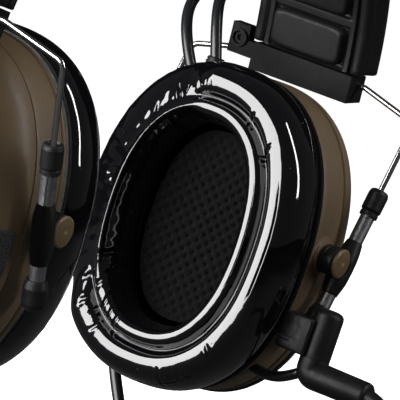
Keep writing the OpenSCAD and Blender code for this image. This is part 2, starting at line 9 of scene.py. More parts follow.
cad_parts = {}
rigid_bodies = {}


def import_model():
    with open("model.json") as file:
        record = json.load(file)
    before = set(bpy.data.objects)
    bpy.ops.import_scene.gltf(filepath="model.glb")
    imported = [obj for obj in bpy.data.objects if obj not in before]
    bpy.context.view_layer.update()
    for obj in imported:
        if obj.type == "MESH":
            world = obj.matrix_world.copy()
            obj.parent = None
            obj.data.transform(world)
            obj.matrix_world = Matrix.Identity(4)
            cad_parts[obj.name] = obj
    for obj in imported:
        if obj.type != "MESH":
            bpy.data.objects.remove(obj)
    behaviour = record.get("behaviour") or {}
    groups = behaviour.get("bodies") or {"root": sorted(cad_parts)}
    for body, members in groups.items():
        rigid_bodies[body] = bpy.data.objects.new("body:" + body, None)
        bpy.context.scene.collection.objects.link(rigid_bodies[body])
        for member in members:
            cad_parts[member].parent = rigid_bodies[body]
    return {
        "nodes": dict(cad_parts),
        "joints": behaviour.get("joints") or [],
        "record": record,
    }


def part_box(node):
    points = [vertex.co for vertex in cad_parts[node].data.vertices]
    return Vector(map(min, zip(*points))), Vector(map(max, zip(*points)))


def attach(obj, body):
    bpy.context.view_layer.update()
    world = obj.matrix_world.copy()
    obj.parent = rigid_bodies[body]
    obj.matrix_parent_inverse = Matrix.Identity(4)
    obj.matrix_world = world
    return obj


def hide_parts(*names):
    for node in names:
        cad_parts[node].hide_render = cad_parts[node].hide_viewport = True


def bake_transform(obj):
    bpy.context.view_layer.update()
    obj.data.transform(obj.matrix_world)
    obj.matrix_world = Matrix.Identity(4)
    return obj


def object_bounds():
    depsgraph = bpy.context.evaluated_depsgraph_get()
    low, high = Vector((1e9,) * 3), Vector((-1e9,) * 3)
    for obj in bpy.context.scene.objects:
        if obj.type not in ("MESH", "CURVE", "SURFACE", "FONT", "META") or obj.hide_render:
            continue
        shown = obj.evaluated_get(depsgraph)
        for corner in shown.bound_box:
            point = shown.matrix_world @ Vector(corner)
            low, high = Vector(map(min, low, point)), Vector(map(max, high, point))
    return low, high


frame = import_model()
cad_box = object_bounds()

# Looks of the headset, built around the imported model. Lengths inside the
# functions are millimetres in a part's own frame: +X away from the head,
# -Y to the front, +Z up the part. A placing matrix turns them into metres.

MM = 0.001
POLE_R = 0.02  # radius left at the pole of a turned form
OUT = Vector((1, 0, 0))
UP = Vector((0, 0, 1))
MIRROR = Matrix.Diagonal((-1, 1, 1, 1))
JOINTS = {j["name"]: j for j in frame["joints"]}
SIDES = ("left", "right")


# ---- frames of the parts ----

def place(origin, up):
    """Matrix from a part's own millimetres to the row frame."""
    up = Vector(up).normalized()
    out = Vector((up.z, 0, -up.x))
    turn = Matrix((out, Vector((0, 1, 0)), up)).transposed()
    return Matrix.Translation(Vector(origin)) @ turn.to_4x4() @ Matrix.Scale(MM, 4)


def on_side(matrix, side):
    return MIRROR @ matrix if side == "right" else matrix


def local_box(node, matrix):
    """Corners of a CAD node in the millimetres of a part's own frame."""
    back = matrix.inverted()
    co = [back @ v.co for v in frame["nodes"][node].data.vertices]
    low, high = (Vector(pick(p[i] for p in co) for i in range(3)) for pick in (min, max))
    return low, high


TILT = JOINTS["left_tilt"]["pos_m"]
CUP = place(TILT, JOINTS["boom_swing"]["axis"])
FORK = place(TILT, [-c for c in JOINTS["left_extend"]["axis"]])

shell_lo, shell_hi = local_box("left_cup_shell", CUP)
cover_lo, cover_hi = local_box("left_outer_cover", CUP)
cushion_lo, cushion_hi = local_box("left_cushion", CUP)
liner_lo, liner_hi = local_box("left_foam_liner", CUP)
plate_lo, plate_hi = local_box("left_seal_plate", CUP)
wire_lo, wire_hi = local_box("left_fork_wire", FORK)
elbow_lo = local_box("boom_elbow", CUP)[0]
bracket_lo, bracket_hi = local_box("boom_bracket", CUP)
gland_hi = local_box("left_lead_gland", CUP)[1]
door_lo, door_hi = local_box("battery_door", MIRROR @ CUP)
plug_lo, plug_hi = local_box("plug_body", CUP)

# Cup outline
SQUARENESS = 2.3
BOSS_Y = shell_hi.y
CUP_TALL = (cushion_hi.z - cushion_lo.z - cushion_hi.y + cushion_lo.y) / 2
CUP_Z = (cushion_hi.z + cushion_lo.z) / 2
SHELL_A = (shell_hi.z - shell_lo.z) / 2 - CUP_TALL
COVER_A = (cover_hi.z - cover_lo.z) / 2 - CUP_TALL
EAR_A = liner_hi.y + 0.8

# Headband arc, worked out from its top and the fold axis
HINGE = Vector(JOINTS["left_fold"]["pos_m"]) / MM
band_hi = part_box("headband_shell")[1] / MM
RIB = 9.2
rise = band_hi.z - RIB - HINGE.z
LEAN = pi / 2 - 2 * atan(rise / HINGE.x)
BAND_R = HINGE.x / cos(LEAN)
BAND_Z = HINGE.z - BAND_R * sin(LEAN)
BAND_END = LEAN + radians(2)
lead_lo, lead_hi = (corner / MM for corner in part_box("crossover_lead"))
LEAD_Y = (lead_lo.y + lead_hi.y) / 2
LEAD_R = (lead_hi.y - lead_lo.y) / 2
WORLD = Matrix.Scale(MM, 4)


# ---- mesh building ----

def circle(n):
    return [2 * pi * k / n for k in range(n)]


class Shape:
    """Vertices and faces of one piece, gathered from several closed forms."""

    def __init__(self):
        self.verts = []
        self.faces = []

    def add(self, verts, faces):
        base = len(self.verts)
        self.verts += [Vector(v) for v in verts]
        self.faces += [tuple(base + i for i in face) for face in faces]
        return self

    def loft(self, rings, closed=False):
        """Skin over rings of equal length, its ends filled or joined to each other."""
        n, m = len(rings[0]), len(rings)
        faces = []
        for i in range(m if closed else m - 1):
            near, far = i * n, (i + 1) % m * n
            faces += [(near + k, near + (k + 1) % n, far + (k + 1) % n, far + k) for k in range(n)]
        if not closed:
            faces += [tuple(reversed(range(n))), tuple((m - 1) * n + k for k in range(n))]
        return self.add([p for ring in rings for p in ring], faces)

    def lathe(self, profile, base, axis, n=48):
        """Turns (radius, height) pairs about an axis from base."""
        base, axis = Vector(base), Vector(axis).normalized()
        side = axis.orthogonal().normalized()
        across = axis.cross(side)
        spokes = [side * cos(a) + across * sin(a) for a in circle(n)]
        return self.loft([[base + axis * h + spoke * max(r, POLE_R) for spoke in spokes] for r, h in profile])

    def tube(self, points, radius, n=20, rounded=True):
        """Round tube along points; radius is a number or a function of length."""
        points = [Vector(p) for p in points]
        size = radius if callable(radius) else (lambda length: radius)
        rings, length = [], 0.0
        side = (points[1] - points[0]).orthogonal().normalized()
        for i, p in enumerate(points):
            ahead = points[min(i + 1, len(points) - 1)] - points[max(i - 1, 0)]
            ahead.normalize()
            side = (side - ahead * side.dot(ahead)).normalized()
            across = ahead.cross(side)
            if i:
                length += (p - points[i - 1]).length
            r = size(length)
            ring = [p + (side * cos(a) + across * sin(a)) * r for a in circle(n)]
            if rounded and i in (0, len(points) - 1):
                step = ahead * (-1 if i == 0 else 1)
                caps = [[p + step * r * 0.3 * sin(t) + (q - p) * (0.7 + 0.3 * cos(t)) for q in ring]
                        for t in (0, 0.5, 1.0, 1.5)]
                rings += reversed(caps) if i == 0 else caps
            else:
                rings.append(ring)
        return self.loft(rings)

    def block(self, low, high, soft, segments=3):
        """Box with rounded edges."""
        bm = bmesh.new()
        bmesh.ops.create_cube(bm, size=1)
        low, high = Vector(low), Vector(high)
        for v in bm.verts:
            v.co = Vector((low[i] + (v.co[i] + 0.5) * (high[i] - low[i]) for i in range(3)))
        bmesh.ops.bevel(bm, geom=bm.edges[:], offset=soft, segments=segments, profile=0.5, affect="EDGES")
        bm.verts.index_update()
        self.add([v.co.copy() for v in bm.verts], [[v.index for v in f.verts] for f in bm.faces])
        bm.free()
        return self


def add_object(name, data):
    obj = bpy.data.objects.new(name, data)
    bpy.context.scene.collection.objects.link(obj)
    return obj


def make(name, shape, matrix, material, sharp=38):
    """Turns a shape into an object."""
    mesh = bpy.data.meshes.new(name)
    mesh.from_pydata([matrix @ v for v in shape.verts], [], shape.faces)
    bm = bmesh.new()
    bm.from_mesh(mesh)
    bmesh.ops.recalc_face_normals(bm, faces=bm.faces[:])
    bm.to_mesh(mesh)
    bm.free()
    mesh.materials.append(material)
    smooth(mesh, sharp)
    return add_object(name, mesh)


def smooth(mesh, sharp=38):
    mesh.shade_smooth()
    mesh.set_sharp_from_angle(angle=radians(sharp))


def bake(obj):
    """Applies an object's modifiers to its mesh."""
    bpy.context.view_layer.update()
    deps = bpy.context.evaluated_depsgraph_get()
    mesh = bpy.data.meshes.new_from_object(obj.evaluated_get(deps))
    obj.modifiers.clear()
    obj.data = mesh


def carve(obj, shape, matrix, operation="DIFFERENCE"):
    """Cuts a shape out of a piece, adds it, or keeps only what lies inside it."""
    cutter = make("cutter", shape, matrix, obj.data.materials[0])
    cut = obj.modifiers.new("cut", "BOOLEAN")
    cut.operation = operation
    cut.object = cutter
    cut.solver = "EXACT"
    bake(obj)
    smooth(obj.data)
    bpy.data.objects.remove(cutter)


def bezier(a, b, c, d, steps):
    a, b, c, d = (Vector(p) for p in (a, b, c, d))
    points = []
    for i in range(steps + 1):
        t = i / steps
        s = 1 - t
        points.append(a * s ** 3 + b * 3 * s * s * t + c * 3 * s * t * t + d * t ** 3)
    return points


def rounded_path(corners, radius, steps=10):
    """Polyline through corners with each inner corner rounded."""
    corners = [Vector(c) for c in corners]
    path = [corners[0]]
    for a, b, c in zip(corners, corners[1:], corners[2:]):
        u, v = (a - b).normalized(), (c - b).normalized()
        reach = radius / tan(u.angle(v) / 2)
        reach = min(reach, (a - b).length * 0.49, (c - b).length * 0.49)
        start, end = b + u * reach, b + v * reach
        for i in range(steps + 1):
            t = i / steps
            path.append(start * (1 - t) ** 2 + b * 2 * t * (1 - t) + end * t * t)
    path.append(corners[-1])
    return path


def spline(points, steps):
    """Smooth closed curve through (x, y) points, steps samples a span."""
    n = len(points)
    out = []
    for i in range(n):
        p = [Vector(points[(i + k) % n]) for k in (-1, 0, 1, 2)]
        for j in range(steps):
            t = j / steps
            out.append(0.5 * (2 * p[1] + (p[2] - p[0]) * t + (2 * p[0] - 5 * p[1] + 4 * p[2] - p[3]) * t * t
                              + (3 * p[1] - p[0] - 3 * p[2] + p[3]) * t ** 3))
    return out


def ramp(value, low, high):
    t = max(0.0, min(1.0, (value - low) / (high - low)))
    return t * t * (3 - 2 * t)


# ---- cup outline ----

def soft_power(v):
    return copysign(abs(v) ** (2 / SQUARENESS), v)


def spread_angles(n, a=34):
    """Angles whose points lie evenly along the cup outline."""
    fine = [2 * pi * k / 2880 for k in range(2881)]
    pts = [Vector((a * soft_power(cos(t)), (a + CUP_TALL) * soft_power(sin(t)))) for t in fine]
    run = [0.0]
    for p, q in zip(pts, pts[1:]):
        run.append(run[-1] + (q - p).length)
    angles, j = [], 0
    for k in range(n):
        goal = run[-1] * k / n
        while run[j + 1] < goal:
            j += 1
        angles.append(fine[j] + (goal - run[j]) / (run[j + 1] - run[j]) * (fine[1] - fine[0]))
    return angles


def loop(x, a, angles, share=1.0):
    """Cup-shaped loop of half width a at depth x, drawn in by share."""
    return [Vector((x, share * a * soft_power(cos(t)),
                    CUP_Z + share * (a + CUP_TALL) * soft_power(sin(t)))) for t in angles]


AROUND = spread_angles(192)


# ---- materials ----

class Graph:
    """Small wrapper that adds nodes to a material and links them."""

    def __init__(self, name):
        self.material = bpy.data.materials.new(name)
        self.material.use_nodes = True
        self.nodes = self.material.node_tree.nodes
        self.links = self.material.node_tree.links
        self.shader = self.nodes["Principled BSDF"]
        self.coord = self.nodes.new("ShaderNodeTexCoord").outputs["Object"]
        self.height = None

    def put(self, socket, value):
        if hasattr(value, "is_output"):
            self.links.new(value, socket)
        else:
            socket.default_value = value

    def node(self, kind, **inputs):
        """Adds a node: _name sets a property, i0 an input by number, Name an input by name."""
        made = self.nodes.new(kind)
        for key, value in inputs.items():
            if key.startswith("_"):
                setattr(made, key[1:], value)
        for key, value in inputs.items():
            if not key.startswith("_"):
                self.put(made.inputs[int(key[1:]) if key[0] == "i" and key[1:].isdigit() else key], value)
        return made

    def noise(self, scale, detail=3.0, roughness=0.5):
        made = self.node("ShaderNodeTexNoise", Vector=self.coord, Scale=scale, Detail=detail,
                         Roughness=roughness)
        return made.outputs["Fac"]

    def cells(self, scale):
        return self.node("ShaderNodeTexVoronoi", Vector=self.coord, Scale=scale).outputs["Distance"]

    def remap(self, value, low, high, to_low, to_high):
        made = self.node("ShaderNodeMapRange", i0=value, i1=low, i2=high, i3=to_low, i4=to_high)
        return made.outputs[0]

    def tint(self, share, low, high):
        """Colour between low and high, each an RGB value or an output."""
        low, high = (c if hasattr(c, "is_output") else (*c, 1) for c in (low, high))
        return self.node("ShaderNodeMix", _data_type="RGBA", i0=share, i6=low, i7=high).outputs[2]

    def bump(self, height, depth_mm):
        made = self.node("ShaderNodeBump", Height=height, Distance=depth_mm * MM, Strength=1.0)
        if self.height is not None:
            self.links.new(self.height, made.inputs["Normal"])
        self.height = made.outputs["Normal"]
        self.links.new(self.height, self.shader.inputs["Normal"])

    def set(self, **inputs):
        for key, value in inputs.items():
            self.put(self.shader.inputs[key.replace("_", " ")], value)
        return self.material


def moulded(name, color, rough, grain, shine, edge_wear_and_sheen):
    """Injection-moulded plastic: fine spark grain, soft mottling, edges lightened as wear and painted sheen.
    """
    g = Graph(name)
    # Edges lightened by curvature towards a paler rim colour: part wear, part painted sheen.
    edge = g.node("ShaderNodeNewGeometry").outputs["Pointiness"]
    edge = g.remap(edge, 0.53, 0.62, 0.0, edge_wear_and_sheen)
    dark, light = [c * 0.86 for c in color], [c * 1.12 for c in color]
    rim = [c * 1.6 + 0.02 for c in color]
    base = g.tint(edge, g.tint(g.noise(90, 4, 0.6), dark, light), rim)
    g.bump(g.noise(2600, 2), grain)
    g.bump(g.noise(70, 2), 0.12)
    return g.set(Base_Color=base, Roughness=g.remap(g.noise(420, 3), 0.3, 0.7, rough - 0.06, rough + 0.08),
                 Specular_IOR_Level=shine)


def gel_film():
    """Wet-look film: near black, clear coat, faint ripple, a little dust."""
    g = Graph("gel_film")
    specks = g.remap(g.cells(330), 0.035, 0.075, 1.0, 0.0)
    rare = g.remap(g.noise(160, 1), 0.62, 0.7, 0.0, 1.0)
    dust = g.node("ShaderNodeMath", _operation="MULTIPLY", i0=specks, i1=rare).outputs[0]
    g.bump(g.noise(95, 3, 0.55), 0.08)
    g.bump(g.noise(700, 2), 0.012)
    return g.set(Base_Color=g.tint(dust, (0.003, 0.003, 0.004), (0.35, 0.35, 0.36)),
                 Roughness=g.remap(dust, 0, 1, 0.055, 0.6), Specular_IOR_Level=0.5,
                 Coat_Weight=1.0, Coat_Roughness=0.03, Coat_IOR=1.45)


def air_mesh():
    """Dark spacer fabric: knitted threads over the modelled dimples."""
    g = Graph("air_mesh")
    threads = g.cells(1500)
    base = g.tint(g.remap(threads, 0.1, 0.5, 0, 1), (0.0005, 0.0005, 0.0005), (0.0032, 0.0032, 0.0034))
    g.bump(threads, 0.25)
    g.bump(g.noise(900, 3), 0.1)
    return g.set(Base_Color=base, Roughness=0.9, Sheen_Weight=0.04, Sheen_Roughness=0.4,
                 Specular_IOR_Level=0.2)


def open_foam():
    """Black windscreen foam, with painted shade darkening its pores."""
    g = Graph("open_foam")
    pores = g.cells(900)
    # Painted shade: the pore pattern tints the pores darker.
    base = g.tint(g.remap(pores, 0.1, 0.6, 0, 1), (0.045, 0.045, 0.048), (0.012, 0.012, 0.013))
    g.bump(pores, 0.5)
    return g.set(Base_Color=base, Roughness=0.95, Sheen_Weight=0.3)


def grip_rubber():
    """Textured rubber: small packed pips."""
    g = Graph("grip_rubber")
    pips = g.cells(1250)
    g.bump(pips, 0.22)
    return g.set(Base_Color=g.tint(g.noise(160, 4), (0.012, 0.012, 0.013), (0.028, 0.028, 0.030)),
                 Roughness=g.remap(pips, 0.1, 0.5, 0.5, 0.72))


def metal(name, color, rough):
    """Bare metal with hair scratches."""
    g = Graph(name)
    scratch = g.noise(900, 5, 0.7)
    g.bump(scratch, 0.01)
    return g.set(Base_Color=(*color, 1), Metallic=1.0,
                 Roughness=g.remap(scratch, 0.3, 0.7, rough * 0.7, rough * 1.5))


def lead_sheath():
    g = Graph("lead_sheath")
    g.bump(g.noise(800, 2), 0.03)
    return g.set(Base_Color=g.tint(g.noise(120, 3), (0.006, 0.007, 0.008), (0.012, 0.013, 0.015)),
                 Roughness=0.33, Coat_Weight=0.15)


def solder_mask():
    """Green circuit board with small gold pads."""
    g = Graph("solder_mask")
    pads = g.remap(g.cells(260), 0.16, 0.2, 1.0, 0.0)
    g.bump(g.noise(300, 2), 0.05)
    return g.set(Base_Color=g.tint(pads, (0.01, 0.11, 0.045), (0.55, 0.42, 0.18)), Roughness=0.32,
                 Coat_Weight=0.4)


def cell_wrap():
    """Plain silvery shrink wrap."""
    g = Graph("cell_wrap")
    g.bump(g.noise(500, 2), 0.03)
    return g.set(Base_Color=g.tint(g.noise(200, 2), (0.3, 0.31, 0.33), (0.42, 0.43, 0.45)), Metallic=0.4,
                 Roughness=0.3)


# Each plastic's colour, roughness, grain in mm, shine, and the lightening of its edges as wear and painted
# sheen
PLASTICS = {
    "moulding": ((0.0065, 0.0065, 0.0072), 0.46, 0.05, 0.28, 0.25),
    "coyote": ((0.122, 0.085, 0.049), 0.42, 0.03, 0.35, 0.15),
    "coyote_cap": ((0.12, 0.085, 0.045), 0.36, 0.02, 0.35, 0.6),
    "black_gloss": ((0.005, 0.005, 0.006), 0.46, 0.008, 0.25, 0.1),
    "pads": ((0.0075, 0.007, 0.008), 0.5, 0.06, 0.25, 0.35),
    "dark_moulding": ((0.0035, 0.0035, 0.004), 0.55, 0.05, 0.15, 0.25),
}
# Each metal's colour and roughness
METALS = {
    "steel": ((0.68, 0.67, 0.66), 0.12),
    "screw": ((0.03, 0.03, 0.032), 0.35),
    "satin_tube": ((0.27, 0.27, 0.285), 0.42),
    "brass": ((0.72, 0.56, 0.26), 0.2),
}
MATERIALS = {"gel_film": gel_film(), "grip": grip_rubber(), "mesh": air_mesh(), "foam": open_foam(),
             "lead": lead_sheath(), "board": solder_mask(), "cell": cell_wrap()}
MATERIALS.update({name: moulded(name, *looks) for name, looks in PLASTICS.items()})
MATERIALS.update({name: metal(name, *looks) for name, looks in METALS.items()})

# CAD nodes that look different from the rest of their slot, by the end of their name
OWN_LOOKS = {"end_block": "dark_moulding", "end_block_screws": "dark_moulding", "slider_tubes": "satin_tube"}
BLOCK_EDGE = 0.7
FINE_EDGE = 0.25


def carry_over():
    """Gives every CAD node its material, rounded edges and smooth curves."""
    for part in frame["record"]["subparts"]:
        name, look = part["node"], part["material_slot"]
        for ending in OWN_LOOKS:
            if name.endswith(ending):
                look = OWN_LOOKS[ending]
        obj = frame["nodes"][name]
        obj.data.materials.clear()
        obj.data.materials.append(MATERIALS[look])
        smooth(obj.data, 30)
        edge = obj.modifiers.new("edge", "BEVEL")
        edge.width = (BLOCK_EDGE if name.endswith("end_block") else FINE_EDGE) * MM
        edge.segments = 3
        edge.limit_method = "ANGLE"
        edge.angle_limit = radians(40)
        edge.harden_normals = True


def piece(name, shape, matrix, slot, body=None, stands_for=(), sharp=38, cuts=()):
    """A piece in its material slot, cut to shape, riding on a body and standing for CAD nodes."""
    obj = make(name, shape, matrix, MATERIALS[slot], sharp)
    if stands_for:
        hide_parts(*stands_for)
    for cut in cuts:
        carve(obj, cut, matrix)
    if body:
        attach(obj, body)
    return obj


def cup_piece(side, name, shape, slot, stands_for, sharp, cuts=()):
    """A piece that rides on a cup and stands for one CAD node of its side."""
    return piece(f"{side}_{name}", shape, on_side(CUP, side), slot, side + "_cup",
                 (f"{side}_{stands_for}",), sharp, cuts)


# ---- cushions ----

CUSHION_D = cushion_hi.x - cushion_lo.x
CUSHION_W = (cushion_hi.y - cushion_lo.y) / 2 - EAR_A
SECTION_STEPS = 2
FILM_TRAVEL = 1.3
CREASE_DEPTH = 0.62

# Section of the cushion: share of its height, share of its width. The film is
# full at the front and slack, with a sharp ridge, at the rear.
GROOVE = (0.17, 0.43)
FULL = [(1.0, 0.86), (0.9, 0.955), (0.72, 1.0), (0.5, 0.995), (0.3, 0.96), (0.12, 0.89), (0.018, 0.785),
        (0.0, 0.66), (0.018, 0.54), (0.12, 0.462), GROOVE, (0.12, 0.398), (0.018, 0.345), (0.0, 0.265),
        (0.018, 0.185), (0.12, 0.12), (0.34, 0.075), (0.62, 0.03), (1.0, 0.09), (1.03, 0.45)]
SLACK = [(1.0, 0.86), (0.9, 0.95), (0.74, 0.985), (0.56, 0.965), (0.42, 0.91), (0.33, 0.84), (0.26, 0.75),
         (0.205, 0.66), (0.16, 0.56), (0.13, 0.48), (0.115, 0.42), (0.085, 0.37), (0.045, 0.31), (0.0, 0.25),
         (0.09, 0.225), (0.2, 0.165), (0.38, 0.085), (0.64, 0.03), (1.0, 0.09), (1.03, 0.45)]


def slackness(y, z):
    """Share of slack in the film at a place on the loop."""
    turn = degrees(atan2((z - CUP_Z) / (EAR_A + CUP_TALL), y / EAR_A))
    return ramp(turn, -44, -26) * (1 - ramp(turn, 62, 84))


def cushion_rings(angles):
    """Loops through the sections, from full film to slack film round the cup."""
    rings = []
    for full, slack in zip(spline(FULL, SECTION_STEPS), spline(SLACK, SECTION_STEPS)):
        pair = [loop(cushion_lo.x + min(depth, 1.0) * CUSHION_D, EAR_A + width * CUSHION_W, angles)
                for depth, width in (full, slack)]
        rings.append([a.lerp(b, slackness(a.y, a.z)) for a, b in zip(*pair)])
    return rings


# Cloth settings of the film
FILM = {"quality": 6, "mass": 0.25, "tension_stiffness": 22, "compression_stiffness": 22,
        "shear_stiffness": 8, "bending_stiffness": 0.04, "use_pressure": True,
        "uniform_pressure_force": 2.5, "vertex_group_mass": "pin", "pin_stiffness": 1.0,
        "vertex_group_shrink": "slack", "shrink_min": 0.0, "shrink_max": -0.07}


def sim_film(obj, pin):
    """Puffs the film with the cloth solver, holding the seams still."""
    group = obj.vertex_groups.new(name="pin")
    for i, weight in enumerate(pin):
        group.add([i], weight, "REPLACE")
    slack = obj.vertex_groups.new(name="slack")
    for v in obj.data.vertices:
        local = CUP.inverted() @ v.co
        rear = ramp(local.y, -8, 34) * 0.75 + ramp(-local.z, 10, 44) * 0.25
        slack.add([v.index], min(rear, 1.0), "REPLACE")
    cloth = obj.modifiers.new("cloth", "CLOTH")
    for key, value in FILM.items():
        setattr(cloth.settings, key, value)
    cloth.settings.effector_weights.gravity = 0
    cloth.point_cache.frame_start = 1
    cloth.point_cache.frame_end = 24
    rest = [v.co.copy() for v in obj.data.vertices]
    scene = bpy.context.scene
    for step in range(1, 21):
        scene.frame_set(step)
    bake(obj)
    scene.frame_set(1)
    limit = FILM_TRAVEL * MM
    for v, was in zip(obj.data.vertices, rest):
        move = v.co - was
        if move.length > limit:
            v.co = was + move.normalized() * limit
    obj.vertex_groups.clear()


# Stretches of film with small gathers: first and last angle, section shares, count
GATHERS = ((-72, -22, (0.2, 0.26, 0.32), 6), (-62, -18, (0.62, 0.7, 0.8), 5), (48, 88, (0.18, 0.26, 0.6), 6),
           (110, 150, (0.62, 0.7), 2), (205, 262, (0.88, 0.93), 3), (-14, 46, (0.5, 0.75), 4))


def pinches(seed):
    """Gathers in the film: angle, section share, size, skew, length."""
    rng = random.Random(seed)
    marks = []
    for low, high, shares, count in GATHERS:
        for k in range(count):
            angle = low + (high - low) * (k + rng.uniform(0.2, 0.8)) / count
            marks.append((radians(angle), rng.choice(shares) + rng.uniform(-0.02, 0.02),
                          rng.uniform(0.5, 1.0), rng.uniform(-1.2, 1.2), rng.uniform(2.2, 4.6)))
    return marks


def crease(marks, angle, radius, share):
    """Depth of the creases at a place, each a sharp fold between two soft rolls."""
    total = 0.0
    for at, across, size, skew, length in marks:
        gap = (angle - at + pi) % (2 * pi) - pi
        along = gap * radius - skew * (share - across) * 9
        aside = (share - across) * CUSHION_W
        if abs(gap) > 0.3 or abs(aside) > length or abs(along) > 5:
            continue
        fade = 1 - ramp(abs(aside), length * 0.35, length)
        fold = exp(-(along / 0.55) ** 2) - 0.45 * exp(-((abs(along) - 1.5) / 0.8) ** 2)
        total += fold * size * fade * CREASE_DEPTH
    return total


def sculpt_film(obj, matrix, seed):
    """Presses creases into the film and ripples it, most where it is slack."""
    back = matrix.inverted()
    marks = pinches(seed)
    mesh = obj.data
    normals = [v.normal.copy() for v in mesh.vertices]
    for v, normal in zip(mesh.vertices, normals):
        p = back @ v.co
        if p.x > cushion_hi.x - 3:
            continue
        angle = atan2((p.z - CUP_Z) / (EAR_A + CUP_TALL), p.y / EAR_A)
        radius = hypot(p.y, p.z - CUP_Z)
        reach = hypot(EAR_A * cos(angle), (EAR_A + CUP_TALL) * sin(angle))
        share = (radius - reach) / CUSHION_W
        ripple = noise.noise(Vector((p.y * 0.09, p.z * 0.09, p.x * 0.16 + seed))) * 0.14
        rough = 0.02 + 0.15 * slackness(p.y, p.z)
        fine = noise.noise(Vector((angle * 16, share * 4.2, seed * 2.0))) * rough
        v.co += normal * (ripple + fine - crease(marks, angle, radius, share)) * MM
    mesh.update()


def build_cushions():
    angles = spread_angles(288)
    rings = cushion_rings(angles)
    groove_ring = FULL.index(GROOVE) * SECTION_STEPS
    pin = []
    for i, ring in enumerate(rings):
        seam = ramp(ring[0].x, cushion_hi.x - 3.5, cushion_hi.x - 1)
        pin += [1.0 if abs(i - groove_ring) <= 1 else seam] * len(angles)
    blank = Shape().loft(rings, closed=True)
    left = piece("left_gel_cushion", blank, CUP, "gel_film", None, ("left_cushion",), 180)
    sim_film(left, pin)
    grow = left.modifiers.new("smooth", "SUBSURF")
    grow.levels = grow.render_levels = 1
    bake(left)
    right = left.copy()
    right.data = left.data.copy()
    right.name = "right_gel_cushion"
    bpy.context.scene.collection.objects.link(right)
    right.data.transform(MIRROR)
    right.data.flip_normals()
    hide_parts("right_cushion")
    for obj, side, seed in ((left, "left", 11), (right, "right", 29)):
        sculpt_film(obj, on_side(CUP, side), seed)
        smooth(obj.data, 180)
        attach(obj, side + "_cup")


# ---- ear linings ----

DIMPLE_Y, DIMPLE_Z = 4.3, 2.35


def mesh_face(p, share):
    """Depth of the dished face with its staggered dimples, at a share of its width."""
    row = round((p.z - CUP_Z) / DIMPLE_Z)
    shift = DIMPLE_Y / 2 if row % 2 else 0
    dy = p.y - shift - round((p.y - shift) / DIMPLE_Y) * DIMPLE_Y
    dz = (p.z - CUP_Z) - row * DIMPLE_Z
    dimple = exp(-(dy * dy + dz * dz) / 0.75) * 1.3
    dish = (1 - share ** 2) * 1.9
    lump = noise.noise(p * 0.12) * 0.35
    edge = ramp(share, 0.9, 1.0) * 0.7
    return liner_lo.x + 0.2 + dish + lump + dimple * (1 - edge) + edge * 0.4


def build_liners():
    """Spacer fabric over the floor of each cushion."""
    angles = spread_angles(300, 20)
    rows = 54
    a = liner_hi.y
    for side in SIDES:
        rings = [loop(liner_hi.x - 0.4, a, angles, 0.97), loop(liner_lo.x + 1.2, a, angles)]
        for i in range(rows + 1):
            share = 1 - i / rows * 0.985
            rings.append([Vector((mesh_face(p, share), p.y, p.z)) for p in loop(0, a, angles, share)])
        cup_piece(side, "ear_lining", Shape().loft(rings), "mesh", "foam_liner", 180)


# ---- cup mouldings ----

# Dome of the covers: half width of its flat middle, and how square its shoulder is
FLAT_A = 20.0
DOME_POWER = 2.2
DOME_X = cover_lo.x
DOME_D = cover_hi.x - cover_lo.x


def dome_a(t):
    """Half width of the cover's dome at a share of its height."""
    return FLAT_A + (COVER_A - FLAT_A) * max(1 - t ** DOME_POWER, 0) ** (1 / DOME_POWER)


def dome_loop(t, angles=AROUND):
    return loop(DOME_X + t * DOME_D, dome_a(t), angles)


def dome_rings():
    """Rings of the cover's dome from its rim to its middle."""
    rings = [dome_loop(sin(pi / 2 * k / 30)) for k in range(31)]
    top = rings[-1][0].x
    return rings + [loop(top, dome_a(1), AROUND, s) for s in (0.9, 0.75, 0.55, 0.35, 0.15, POLE_R)]


def build_shells():
    """Inner halves of the cups, with a boss for each pivot."""
    a, x0, x1 = SHELL_A, shell_lo.x, shell_hi.x
    rim = ((0, -1.1), (0.15, -0.5), (0.6, -0.1), (1.4, -0.05), (1.9, -0.3), (2.2, -0.75), (2.6, -0.5),
           (5, -0.2), (8, 0), (11, -0.05))
    section = [(x0 + x, a + out) for x, out in rim]
    section += [(x1 - 1.2, a - 0.3), (x1 - 0.35, a - 0.55), (x1, a - 1.1), (x1, a - 2.5), (x0 + 2.2, a - 2.5),
                (x0 + 2.2, 24.6), (x0, 24.6)]
    boss = [(7.4, -5.2), (7.4, -2.2), (7.0, -1.3), (6.0, -1.0), (5.7, -0.8), (5.7, -0.2), (5.4, 0), (2.3, 0),
            (2.15, -0.2), (2.15, -5.2)]
    for side in SIDES:
        shape = Shape().loft([loop(x, r, AROUND) for x, r in section], closed=True)
        for front in (-1, 1):
            shape.lathe(boss, (0, front * BOSS_Y, 0), (0, front, 0), 56)
        cup_piece(side, "cup_moulding", shape, "coyote", "cup_shell", 40)


def mic_seat():
    return Shape().lathe([(3.08, -5.2), (3.08, 2)], (cover_hi.x, -22, CUP_Z + 20), OUT, 40)


# Each control button: the joint that presses it, and the turns of the bars on its mark
KEYS = {"volume_up_button": ("volume_up_press", (0, 90)),
        "volume_down_button": ("volume_down_press", (0,)),
        "power_button": ("power_press", ())}
KEY_RIM = ((-0.3, -2.85), (0, -2.6), (0, -1.0), (-0.25, -0.45), (-0.8, -0.1), (-1.3, -0.05), (-1.9, -0.35))
MARK_R = 1.5
key_boxes = [local_box(key, MIRROR @ CUP) for key in KEYS]
KEY_Z = (key_boxes[0][0].z + key_boxes[0][1].z) / 2
KEY_YS = [(low.y + high.y) / 2 for low, high in key_boxes]
KEY_R = (key_boxes[0][1].z - key_boxes[0][0].z) / 2
DOOR_Y = door_hi.y - 1.6


